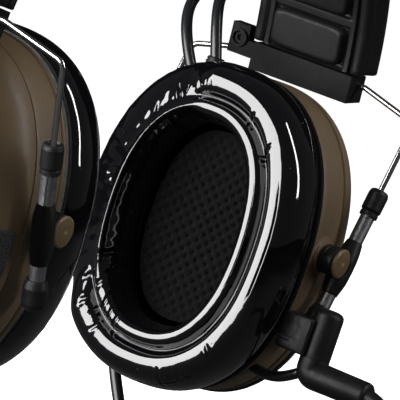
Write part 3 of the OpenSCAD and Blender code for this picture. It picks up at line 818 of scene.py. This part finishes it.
def cover_blank():
    """Domed shell of even wall, open towards the cup."""
    wall = 2.2
    rim = [loop(DOME_X + 0.02, dome_a(0) - 0.5, AROUND), loop(DOME_X + 0.35, dome_a(0) - 0.06, AROUND)]
    hollow = [loop(DOME_X + t * (DOME_D - wall), dome_a(t) - wall, AROUND)
              for t in (0, 0.3, 0.55, 0.75, 0.9, 0.97)]
    hollow.append(loop(cover_hi.x - wall, dome_a(0.97) - wall, AROUND, 0.5))
    return Shape().loft(hollow[::-1] + rim + dome_rings()[1:])


DOOR_AXIS = (MIRROR @ CUP).inverted() @ Vector(JOINTS["battery_door_open"]["pos_m"])


def door_window(side_gap, below, above):
    """Block that clears the battery door, with gaps round it."""
    return Shape().block((cover_hi.x - 5, -DOOR_Y - side_gap, DOOR_AXIS.z - below),
                         (cover_hi.x + 3, DOOR_Y + side_gap, above), 0.05, 1)


def key_well(y, depth):
    return Shape().lathe([(KEY_R + 0.3, -depth), (KEY_R + 0.3, 3)], (cover_hi.x, y, KEY_Z), OUT, 48)


def build_covers():
    """Outer covers, the right one open for the battery door and the keys."""
    for side in SIDES:
        cuts = [mic_seat()]
        if side == "right":
            cuts += [door_window(0.2, 1.8, door_hi.z + 0.2)] + [key_well(y, 1.2) for y in KEY_YS]
        cup_piece(side, "cover_moulding", cover_blank(), "coyote", "outer_cover", 40, cuts)


def build_door():
    """Curved battery door with its hinge knuckle and thumb ribs."""
    matrix = MIRROR @ CUP
    obj = piece("battery_door_moulding", cover_blank(), matrix, "coyote", None, ("battery_door",), 35)
    keep = Shape().block((cover_hi.x - 4, -DOOR_Y, DOOR_AXIS.z + 0.4),
                         (cover_hi.x + 1, DOOR_Y, door_hi.z), 0.4)
    carve(obj, keep, matrix, "INTERSECT")
    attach(obj, "door")
    r = DOOR_AXIS.z - door_lo.z
    pin_r = 0.7
    extra = Shape().lathe([(pin_r, -DOOR_Y - 1.6), (pin_r, -DOOR_Y), (r - 0.3, -DOOR_Y), (r, -DOOR_Y + 0.3),
                           (r, DOOR_Y - 0.3), (r - 0.3, DOOR_Y), (pin_r, DOOR_Y), (pin_r, DOOR_Y + 1.6)],
                          (DOOR_AXIS.x, 0, DOOR_AXIS.z), (0, 1, 0), 32)
    x = cover_hi.x + 0.02
    for k in range(5):
        z = door_hi.z - 5 - k * 1.8
        extra.tube([(x, -6, z), (x, 6, z)], 0.36, 12)
    piece("battery_door_ribs", extra, matrix, "coyote", "door")


def build_grips():
    """Textured panels on the lower half of the covers."""
    angles = spread_angles(400)
    steps = [0.17 + 0.83 * sin(pi / 2 * k / 44) for k in range(45)]
    walls = [(dome_loop(t, angles), loop(DOME_X + t * DOME_D + t, dome_a(t) + 1, angles)) for t in steps]
    for k in range(19, 0, -1):
        s = k / 20
        walls.append((loop(cover_hi.x, dome_a(1), angles, s), loop(cover_hi.x + 1, dome_a(1) + s, angles, s)))
    top, under = [], []
    for skin, away in walls:
        outer, inner = [], []
        for p, q in zip(skin, away):
            lift = min(ramp(CUP_Z + 2 - p.z, 0.0, 1.1), ramp(p.x - DOME_X - 3, 0.0, 1.2))
            lump = noise.noise(p * 1.1) * 0.05
            outer.append(p + (q - p) * (-1.5 + (2.55 + lump) * lift))
            inner.append(p - (q - p) * 1.7)
        top.append(outer)
        under.append(inner)
    for side in SIDES:
        cuts = [Shape().block((-20, -70, CUP_Z + 1.9), (60, 70, CUP_Z + 80), 0.02, 1),
                door_window(1.4, 3, CUP_Z + 5)]
        if side == "right":
            cuts += [key_well(y, 3) for y in KEY_YS]
        cup_piece(side, "grip_cover", Shape().loft(under[::-1] + top), "grip", "grip_panel", 50, cuts)


def build_keys():
    """Control buttons with raised rims, a dished thumb face and a plain mark."""
    for key, (low, high) in zip(KEYS, key_boxes):
        press, turns = KEYS[key]
        y = (low.y + high.y) / 2
        top = high.x
        profile = [(1.5, low.x - top), (1.5, -3.0)] + [(KEY_R + out, x) for out, x in KEY_RIM]
        shape = Shape().lathe(profile + [(1.4, -0.6), (POLE_R, -0.65)], (top, y, KEY_Z), OUT, 56)
        x = top - 0.55
        for turn in turns:
            c, s = cos(radians(turn)) * MARK_R, sin(radians(turn)) * MARK_R
            shape.tube([(x, y - c, KEY_Z - s), (x, y + c, KEY_Z + s)], 0.3, 10)
        if not turns:
            arc = [radians(120 + 300 * k / 30) for k in range(31)]
            shape.tube([(x, y + MARK_R * cos(a), KEY_Z + MARK_R * sin(a)) for a in arc], 0.28, 10)
            shape.tube([(x, y, KEY_Z + 0.4), (x, y, KEY_Z + 1.9)], 0.28, 10)
        piece(key + "_cap", shape, MIRROR @ CUP, "grip", JOINTS[press]["child"], (key,), 40)


def build_seal_plates():
    """Double-lipped ring between cushion and shell."""
    a = (plate_hi.y - plate_lo.y) / 2
    x0, x1 = plate_lo.x, plate_hi.x
    lips = ((0, -1.0), (0.1, -0.4), (0.35, -0.05), (0.65, -0.02), (0.82, -0.3), (0.92, -0.8), (1.02, -0.8),
            (1.12, -0.3), (1.3, -0.05), (1.6, -0.02), (1.85, -0.3))
    section = [(x0 + x, a + out) for x, out in lips] + [(x1, a - 0.9), (x1, EAR_A + 2), (x0, EAR_A + 2)]
    for side in SIDES:
        shape = Shape().loft([loop(x, r, AROUND) for x, r in section], closed=True)
        cup_piece(side, "seal_ring", shape, "black_gloss", "seal_plate", 40)


def foam_ball(profile, base, axis, seed):
    """Turned foam form with an uneven surface."""
    fine = []
    for (r0, h0), (r1, h1) in zip(profile, profile[1:]):
        fine += [(r0 + (r1 - r0) * t / 4, h0 + (h1 - h0) * t / 4) for t in range(4)]
    shape = Shape().lathe(fine + [profile[-1]], base, axis, 56)
    for v in shape.verts:
        away = v - Vector(base)
        v += away.normalized() * noise.noise(v * 0.9 + Vector((seed, 0, 0))) * 0.28
    return shape


def build_windscreens():
    for side in SIDES:
        low, high = local_box(side + "_windscreen", on_side(CUP, side))
        base = Vector((low.x, (low.y + high.y) / 2, (low.z + high.z) / 2))
        reach, r = high.x - low.x, (high.y - low.y) / 2 - 0.2
        arc = [(r * cos(t) ** 0.8, reach * (0.12 + 0.86 * sin(t)))
               for t in [pi / 2 * k / 10 for k in range(10)]]
        profile = [(POLE_R, 0), (r * 0.9, 0), (r * 0.99, 0.05 * reach)] + arc + [(POLE_R, 0.98 * reach)]
        cup_piece(side, "wind_foam", foam_ball(profile, base, OUT, 3), "foam", "windscreen", 80)


# ---- headband ----

def band_point(angle, out, y):
    r = BAND_R + out
    return Vector((r * cos(angle), y, BAND_Z + r * sin(angle)))


def band_loft(section, start, end, steps, soft=0.5):
    """Sweeps an (out, y) section round the band and eases both ends."""
    stops = [start, start + soft * 0.35 / BAND_R, start + soft / BAND_R]
    stops += [start + (end - start) * k / steps for k in range(1, steps)]
    stops += [end - soft / BAND_R, end - soft * 0.35 / BAND_R, end]
    n = len(section)
    rings = []
    for i, angle in enumerate(stops):
        near = min(i, len(stops) - 1 - i)
        inset = (soft, soft * 0.3, 0)[min(near, 2)]
        ring = []
        for k, p in enumerate(section):
            p = Vector(p)
            edge = Vector(section[(k + 1) % n]) - Vector(section[k - 1])
            if edge.length > 1e-6:
                normal = Vector((edge.y, -edge.x)).normalized()
                p = p - normal * inset
            ring.append(band_point(angle, p[0], p[1]))
        rings.append(ring)
    return Shape().loft(rings)


def arc_2d(cx, cy, r, start, end, steps):
    return [(cx + r * cos(radians(start + (end - start) * k / steps)),
             cy + r * sin(radians(start + (end - start) * k / steps))) for k in range(steps + 1)]


# Half width of the band between its rolled edges
HALF_W = band_hi.y - 3.2


def build_headband():
    """Moulded band with a hollow rib along each edge."""
    w = HALF_W
    rear = ([(6.6, 0.0), (6.6, 7.2), (6.8, 7.8), (7.7, 8.5), (8.0, 9.2), (8.1, w - 7.5), (8.5, w - 5.0)]
            + arc_2d(4.6, w - 1, 4.6, -22, 118, 20) + arc_2d(-2.2, w + 0.4, 2.8, 42, 202, 18)
            + [(-3.4, w - 2.2), (-1.2, w - 2.2), (-1.2, w - 2.6), (-1.2, 0.0)])
    front = [(x, -y) for x, y in reversed(rear) if y > 0]
    piece("headband_moulding", band_loft(rear + front, BAND_END, pi - BAND_END, 150), WORLD, "moulding",
          "headband", ("headband_shell", "headband_spring"), 46)


PAD_COUNT = 17
PAD_PITCH = radians(9.6)
PAD_HALF_Y = 15.0
PAD_HALF_ALONG = 7.0
PAD_R = BAND_R - 5


def pocket_depth(angle, y, pocket_y):
    """How far the frame's inner face stands in from the band's middle line."""
    last = (PAD_COUNT - 1) / 2
    slot = max(-last, min(last, round((angle - pi / 2) / PAD_PITCH)))
    aside = abs(angle - (pi / 2 + slot * PAD_PITCH)) * PAD_R
    along = aside - PAD_HALF_ALONG - 0.9
    beyond = abs(y) - pocket_y
    away = max(along, beyond)
    if away >= 0:
        away = hypot(max(along, 0), max(beyond, 0))
    return 3.5 + 1.5 * ramp(away, -0.7, 0.15)


def build_liner_frame():
    """Inner face of the band: a shallow pocket with a raised edge for each pad."""
    half_y = HALF_W - 2.3
    pocket_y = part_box("headband_pads")[1].y / MM + 0.9
    across = [-half_y + 0.6 + (2 * half_y - 1.2) * k / 56 for k in range(57)]
    across = [-half_y, -half_y + 0.25] + across + [half_y - 0.25, half_y]
    steps = 620
    rings = []
    for i in range(steps + 1):
        angle = BAND_END + (pi - 2 * BAND_END) * i / steps
        ring = [band_point(angle, -pocket_depth(angle, y, pocket_y), y) for y in across]
        for k in (0, -1):
            ring[k] = band_point(angle, 0.35 - pocket_depth(angle, across[k], pocket_y), across[k])
        rings.append(ring + [band_point(angle, -1.35, y) for y in reversed(across)])
    piece("headband_frame", Shape().loft(rings), WORLD, "moulding", "headband", ("headband_liner",), 50)


def build_pads():
    """Soft square-shouldered pads on the inner face of the band."""
    corner = 2 / 7.0
    outline = [(copysign(abs(cos(t)) ** corner, cos(t)),
                copysign(abs(sin(t)) ** corner, sin(t))) for t in circle(64)]
    sides = ((-4.0, 0.0), (-6.15, 0.0), (-6.55, -0.15), (-7.25, -0.75), (-7.5, -1.15), (-7.55, -1.9))
    face, inset = sides[-1]
    stations = [(out, PAD_HALF_Y + grow, PAD_HALF_ALONG + grow) for out, grow in sides]
    stations += [(face - 0.05 * (1 - share), (PAD_HALF_Y + inset) * share, (PAD_HALF_ALONG + inset) * share)
                 for share in (0.75, 0.4, 0.03)]
    pads = Shape()
    for k in range(PAD_COUNT):
        angle = pi / 2 + (k - (PAD_COUNT - 1) / 2) * PAD_PITCH
        turn = Matrix.Translation(band_point(angle, 0, 0)) @ Matrix.Rotation(-angle, 4, "Y")
        pads.loft([[turn @ Vector((out, u * wide, v * along)) for u, v in outline]
                   for out, wide, along in stations])
    piece("headband_pads_moulded", pads, WORLD, "pads", "headband", ("headband_pads",), 60)


def gland_top(k):
    """Top of one of the two glands on a cup."""
    return Vector((3.4 * k - 1.7, 22 + 9 * k, gland_hi.z - 8 * k))


def band_lead(k, angle, rearward=0.0):
    """Middle of one of the two crossover leads on the band."""
    return band_point(angle, 1.5 + 5 * k, LEAD_Y + rearward)


LEAD_END = radians(24)
LEAD_STRETCH = 15


def build_leads():
    """Crossover leads: along the band, then down to each cup in three linked runs."""
    band = Shape()
    for k in (0, 1):
        band.tube([band_lead(k, LEAD_END + (pi - 2 * LEAD_END) * i / 90) for i in range(91)], LEAD_R, 20)
    piece("crossover_leads", band, WORLD, "lead", "headband", ("crossover_lead",), 60)
    runs = []
    for k in (0, 1):
        start = (CUP @ (gland_top(k) - UP)) / MM
        bow = (CUP @ (gland_top(k) + Vector((0, 12 + 10 * k, 30)))) / MM
        back = band_lead(k, LEAD_END - radians(12), 16 + 10 * k)
        runs.append(bezier(start, bow, back, band_lead(k, LEAD_END), 3 * LEAD_STRETCH))
    for side in SIDES:
        world = on_side(WORLD, side)
        for j, name in enumerate(("lower", "middle", "upper")):
            first, last = LEAD_STRETCH * j, LEAD_STRETCH * (j + 1)
            part = Shape()
            for path in runs:
                part.tube(path[first:last + 1], LEAD_R * 0.98, 20, rounded=False)
            obj = piece(f"{side}_lead_{name}", part, world, "lead", None, (), 60)
            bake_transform(obj)


def build_glands():
    """Ringed rubber glands where the crossover leads enter the cups."""
    profile = [(3.9, -3.4), (3.7, -3.0), (3.2, -2.8), (3.2, -2.3), (3.5, -2.2), (3.5, -1.7), (3.1, -1.6),
               (3.1, -1.1), (3.3, -1.0), (3.2, -0.4), (2.7, 0), (2.15, 0), (2.15, -6.5)]
    for side in SIDES:
        glands = Shape()
        for k in (0, 1):
            glands.lathe([(4.1, -6.5 - 9 * k)] + profile, gland_top(k), UP, 40)
        cup_piece(side, "lead_boots", glands, "moulding", "lead_gland", 35)


# ---- forks ----

def build_forks():
    """Sprung wire forks that carry the sliders."""
    r = (wire_hi.x - wire_lo.x) / 2
    x = (wire_hi.x + wire_lo.x) / 2
    y = wire_hi.y - r
    top, low = wire_hi.z - r, wire_lo.z
    bend = top - 6.2
    corners = [(x, -y, low), (x, -y, bend), (x, -24, top), (x, 24, top), (x, y, bend), (x, y, low)]
    path = rounded_path(corners, 3.6, 14)
    for side in SIDES:
        piece(side + "_fork_spring", Shape().tube(path, r, 24), on_side(FORK, side), "steel", side + "_fork",
              (side + "_fork_wire",), 60)


def build_pivots():
    """Rounded blocks that carry the sliders on the cup's pivots."""
    low, high = local_box("left_pivot_blocks", FORK)
    button_lo, button_hi = local_box("left_pivot_buttons", FORK)
    tube_lo, tube_hi = local_box("left_slider_tubes", FORK)
    x, tube_r = (tube_lo.x + tube_hi.x) / 2, (tube_hi.x - tube_lo.x) / 2
    y = tube_hi.y - tube_r
    disc_r = (button_hi.z - button_lo.z) / 2
    hub_end = button_hi.y - 2.0
    upper = ((0.02, 2.4), (0.3, 2.2), (0.6, 0.8), (1.0, -1.6), (1.25, -4.2), (1.35, -8.0))
    lower = ((1.25, 3.6), (0.9, 1.2), (0.5, -0.8), (0.3, -1.9), (0.02, -2.1))
    carrier = [(tube_r + grow, high.z + z) for grow, z in upper]
    carrier += [(tube_r + grow, low.z + z) for grow, z in lower]
    hub = [(4.7, -5.8), (5.0, -5.5), (5.2, -5.0), (5.2, -4.2), (4.7, -3.9), (4.7, -3.4), (5.2, -3.1),
           (5.3, -2.4), (5.3, -0.6), (5.0, -0.1), (2.2, 0), (2.2, -5.8)]
    seat = [(disc_r + 0.3, 0.1), (disc_r + 0.3, 6)]
    cuts = [Shape().lathe(seat, (0, front * hub_end, 0), (0, front, 0), 48) for front in (-1, 1)]
    shape = Shape()
    for front in (-1, 1):
        shape.lathe(carrier, (x, front * y, 0), UP, 56)
        shape.lathe(hub, (0, front * hub_end, 0), (0, front, 0), 48)
        edge = sorted((front * (y - 2.4), front * (hub_end - 0.1)))
        shape.block((1.5, edge[0], -3.8), (x - 0.5, edge[1], 3.8), 1.2, 4)
    for side in SIDES:
        piece(side + "_pivot_carriers", shape, on_side(FORK, side), "moulding", side + "_slider",
              (side + "_pivot_blocks",), 40, cuts)


# ---- boom microphone ----

BOOM = CUP.inverted() @ Vector(JOINTS["boom_swing"]["pos_m"])
ARM_R = 4.9
SLEEVE_R = 5.25
ARM_Z = elbow_lo.z + SLEEVE_R - 0.35
ARM_END = Vector((BOOM.x, elbow_lo.y, ARM_Z))
SEAM = Vector((BOOM.x, BOOM.y, bracket_lo.z))
# Gooseneck curve, as steps from the arm's end
NECK = ((0, 3, 0), (0, -14, 0), (-12, -26, -8), (-34, -33, -14))


def build_bracket():
    """Arm and web that hold the boom's sleeve on the left cup."""
    low, high = bracket_lo, bracket_hi
    web = Shape().block((low.x, BOOM.y + 1.5, low.z), (low.x + 4.2, -43.6, high.z - 4.4), 0.8)
    arm = Shape().block((low.x + 0.3, -45.6, low.z + 0.1), (high.x, -43.2, high.z - 4.6), 0.7)
    notch = Shape().block((low.x - 1, BOOM.y + 8.0, low.z + 3.0), (low.x + 0.9, -40, low.z + 4.6), 0.2, 1)
    base = piece("boom_bracket_web", web, CUP, "moulding", None, ("boom_bracket",), 35)
    carve(base, arm, CUP, "UNION")
    carve(base, notch, CUP)
    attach(base, "left_cup")
    tall = high.z - low.z
    sleeve = Shape().lathe([(3.05, 0.0), (SLEEVE_R - 0.25, 0), (SLEEVE_R, 0.25), (SLEEVE_R, tall - 2.4),
                            (SLEEVE_R - 0.25, tall - 1.3), (SLEEVE_R - 1.0, tall - 0.45),
                            (SLEEVE_R - 2.2, tall - 0.05), (POLE_R, tall)], SEAM, UP, 64)
    piece("boom_bracket_sleeve", sleeve, CUP, "moulding", "left_cup", (), 40)


def build_elbow():
    """Elbow that turns in the sleeve and tapers to the arm."""
    corners = [SEAM - UP * 0.2, (BOOM.x, BOOM.y, ARM_Z), ARM_END]
    elbow = Shape().tube(rounded_path(corners, 6.4, 22),
                         lambda length: SLEEVE_R + (ARM_R - SLEEVE_R) * ramp(length, 2, 16), 56)
    elbow.lathe([(2.6, -1), (3.0, -1), (3.0, 10.5), (2.4, 11), (POLE_R, 11)], SEAM, UP, 32)
    lip = [(ARM_R - 0.2, -0.6), (ARM_R - 0.25, 0.1), (ARM_R - 0.5, 0.45), (ARM_R - 1.0, 0.5)]
    elbow.lathe(lip + [(3.6, 0.2), (3.4, -0.6)], ARM_END, (0, -1, 0), 56)
    piece("boom_elbow_moulding", elbow, CUP, "moulding", "boom", ("boom_elbow",), 40)


def neck_radius(length):
    """Radius along the gooseneck: a short boot, then close ribs."""
    boot = 3.3 - 0.09 * max(length - 3, 0) if length < 11 else 0
    return max(boot, 2.32 + 0.2 * cos(2 * pi * length / 1.25))


def build_gooseneck():
    """Ribbed neck with the microphone's foam on its end."""
    path = bezier(*[ARM_END + Vector(step) for step in NECK], 420)
    piece("boom_gooseneck", Shape().tube(path, neck_radius, 28), CUP, "moulding", "boom", ("gooseneck",), 60)
    foam_lo, foam_hi = local_box("mic_windscreen", CUP)
    grow = min((max(foam_hi - foam_lo) / 2 - 0.5) / 8.2, 1.0)
    profile = [(4.75, 6.9), (5.6, 6.9), (6.6, 7.3), (7.5, 8.6), (8.0, 11), (8.0, 14), (7.5, 17), (6.5, 19.4),
               (5.0, 21.2), (3.0, 22.0), (POLE_R, 22.2)]
    foam = foam_ball([(r * grow, h) for r, h in profile], path[-1], path[-1] - path[-2], 7)
    piece("boom_mic_foam", foam, CUP, "foam", "boom", ("mic_windscreen",), 80)


def build_mic_lead():
    """Short lead from the cup into the heel of the boom."""
    points = [(-2, -29.5, ARM_Z - 5.0), (-2, -39.5, ARM_Z - 8.0), (-4.5, -45, ARM_Z - 5.5),
              (BOOM.x + 0.3, BOOM.y + 4.4, ARM_Z - 1.2)]
    lead = Shape().tube(bezier(*points, 26), 1.9, 20)
    obj = piece("boom_lead", lead, CUP, "lead", None, ("mic_lead",), 60)
    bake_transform(obj)


def build_radio_lead():
    """Lead that hangs from the left cup to the plug, with its ringed gland."""
    high = local_box("radio_lead", CUP)[1]
    gland_y, top = high.y - 4.35, high.z - 4
    end = Vector(((plug_lo.x + plug_hi.x) / 2, (plug_lo.y + plug_hi.y) / 2, plug_hi.z + 0.4))
    path = bezier((0, gland_y, top - 5), (0, gland_y - 14, top - 36), end + Vector((0, 4, 34)), end, 80)
    shape = Shape().tube(path, 2.1, 24)
    shape.lathe([(3.6, 3.6), (4.3, 2.0), (4.3, -1.6), (3.8, -2.2), (3.4, -5.0), (2.9, -8.0), (2.5, -8.6),
                 (2.15, -8.6)], (0, gland_y, top), (0, 0.06, 1), 40)
    piece("radio_lead_sheath", shape, CUP, "lead", "left_cup", ("radio_lead",), 50)


# ---- setting ----

def backdrop():
    """Pale sweep: a floor that curves up into a wall, bright only to the camera."""
    floor_z = cad_box[0][2] - 0.002
    front, run, r, wall = -6.0, 5.0, 2.0, 8.0
    curve = [pi / 2 * k / 24 for k in range(25)]
    profile = [(run + r * sin(t), r - r * cos(t)) for t in curve]
    profile = [(front, 0.0)] + profile + [(run + r, wall)]
    bm = bmesh.new()
    rows = [[bm.verts.new((x, y, floor_z + z)) for x in (-9.0, 9.0)] for y, z in profile]
    for a, b in zip(rows, rows[1:]):
        bm.faces.new((a[0], a[1], b[1], b[0]))
    mesh = bpy.data.meshes.new("sweep")
    bm.to_mesh(mesh)
    bm.free()
    sweep = add_object("sweep", mesh)
    mesh.shade_smooth()
    g = Graph("pale_sweep")
    seen = g.node("ShaderNodeLightPath").outputs["Is Camera Ray"]
    g.set(Base_Color=g.remap(seen, 0, 1, 0.05, 0.82), Roughness=0.8, Emission_Color=(1, 1, 1, 1),
          Emission_Strength=seen, Specular_IOR_Level=0.0)
    mesh.materials.append(g.material)
    sweep.rotation_euler.z = CAMERA_AZ


def softbox(name, direction, distance, size, power, mirrored=True):
    """Rectangular light aimed at the near cup; glossy pieces may leave it out."""
    data = bpy.data.lights.new(name, "AREA")
    data.shape = "RECTANGLE"
    data.size, data.size_y = size
    data.energy = power
    obj = add_object(name, data)
    direction = Vector(direction).normalized()
    obj.location = CUP @ Vector((-28, 0, CUP_Z)) + direction * distance
    obj.rotation_euler = direction.to_track_quat("Z", "Y").to_euler()
    obj.visible_glossy = mirrored


# Camera: its angles, its distance and the width of the view at the aim, in metres
CAMERA_AZ = radians(-59.1)
CAMERA_EL = radians(6.4)
CAMERA_ROLL = radians(17.7)
CAMERA_FAR = 1.5
VIEW_WIDTH = 0.13652
VIEW_SHIFT = (0.02825, 0.04875)
AIM = Vector(TILT) + Vector((-0.038, -0.010, 0))


def camera():
    """Places the camera; returns its backward, right and up directions."""
    data = bpy.data.cameras.new("camera")
    obj = add_object("camera", data)
    back = Vector((sin(CAMERA_AZ) * cos(CAMERA_EL), -cos(CAMERA_AZ) * cos(CAMERA_EL),
                   sin(CAMERA_EL)))
    level = Vector((cos(CAMERA_AZ), sin(CAMERA_AZ), 0))
    plumb = back.cross(level)
    c, s = cos(CAMERA_ROLL), sin(CAMERA_ROLL)
    right, up = level * c + plumb * s, plumb * c - level * s
    turn = Matrix((right, up, back)).transposed().to_4x4()
    obj.matrix_world = Matrix.Translation(AIM + back * CAMERA_FAR) @ turn
    data.lens = CAMERA_FAR / VIEW_WIDTH * data.sensor_width
    data.shift_x, data.shift_y = VIEW_SHIFT
    data.clip_end = 40
    bpy.context.scene.camera = obj
    return back, right, up


def lights(back, right, up):
    """One broad light mirrored by the cushion's crests, an edge light and soft fills."""
    face = (CUP.to_3x3() @ Vector((-1, 0, 0))).normalized()
    face = (face - Vector((0, tan(radians(2)), 0))).normalized()
    mirror = 2 * face.dot(back) * face - back
    softbox("crest_light", mirror, 1.3, (1.3, 1.4), 56)
    softbox("edge_light", right * 0.9 + up * 0.35 + back * 0.28, 1.3, (0.12, 1.1), 7)
    softbox("side_fill", (1.0, -0.25, 0.55), 1.9, (0.8, 0.8), 13, False)
    softbox("rear_fill", (0.2, 1.0, 0.5), 2.0, (0.9, 0.7), 12, False)
    softbox("top_light", up * 1.0 + back * 0.75 + right * 0.1, 1.6, (1.0, 0.5), 9, False)
    softbox("front_fill", back * 1.0 - right * 0.55 + up * 0.15, 1.9, (0.5, 0.9), 2, False)


def studio_air():
    """World light: white to the camera, faint to everything else."""
    world = bpy.data.worlds.new("studio")
    bpy.context.scene.world = world
    world.use_nodes = True
    nodes, links = world.node_tree.nodes, world.node_tree.links
    seen = nodes.new("ShaderNodeLightPath").outputs["Is Camera Ray"]
    level = nodes.new("ShaderNodeMapRange")
    level.inputs["To Min"].default_value = 0.05
    level.inputs["To Max"].default_value = 1.0
    links.new(seen, level.inputs["Value"])
    links.new(level.outputs[0], nodes["Background"].inputs["Strength"])
    nodes["Background"].inputs["Color"].default_value = (1, 1, 1, 1)


def shade_far_cup():
    """Keeps the crest light off the outer face of the far cup, which stands in shade."""
    shaded = bpy.data.collections.new("shaded")
    outer = ("right_cover", "right_cup", "right_grip", "right_pivot", "battery", "volume", "power")
    for obj in bpy.data.objects:
        if obj.type == "MESH" and obj.name.startswith(outer):
            shaded.objects.link(obj)
    bpy.data.objects["crest_light"].light_linking.receiver_collection = shaded
    for entry in shaded.collection_objects:
        entry.light_linking.link_state = "EXCLUDE"


def keep_reflections_clear():
    """The far cup and headband stay out of the mirror of the near cushion."""
    for obj in bpy.data.objects:
        if obj.type == "MESH" and obj.name.startswith(("right_", "headband_", "crossover")):
            obj.visible_glossy = False


carry_over()
build_cushions()
build_liners()
build_shells()
build_covers()
build_door()
build_grips()
build_keys()
build_seal_plates()
build_windscreens()
build_headband()
build_liner_frame()
build_pads()
build_leads()
build_glands()
build_forks()
build_pivots()
build_bracket()
build_elbow()
build_gooseneck()
build_mic_lead()
build_radio_lead()
keep_reflections_clear()
backdrop()
lights(*camera())
studio_air()
shade_far_cup()
bpy.context.scene.view_settings.view_transform = "Standard"
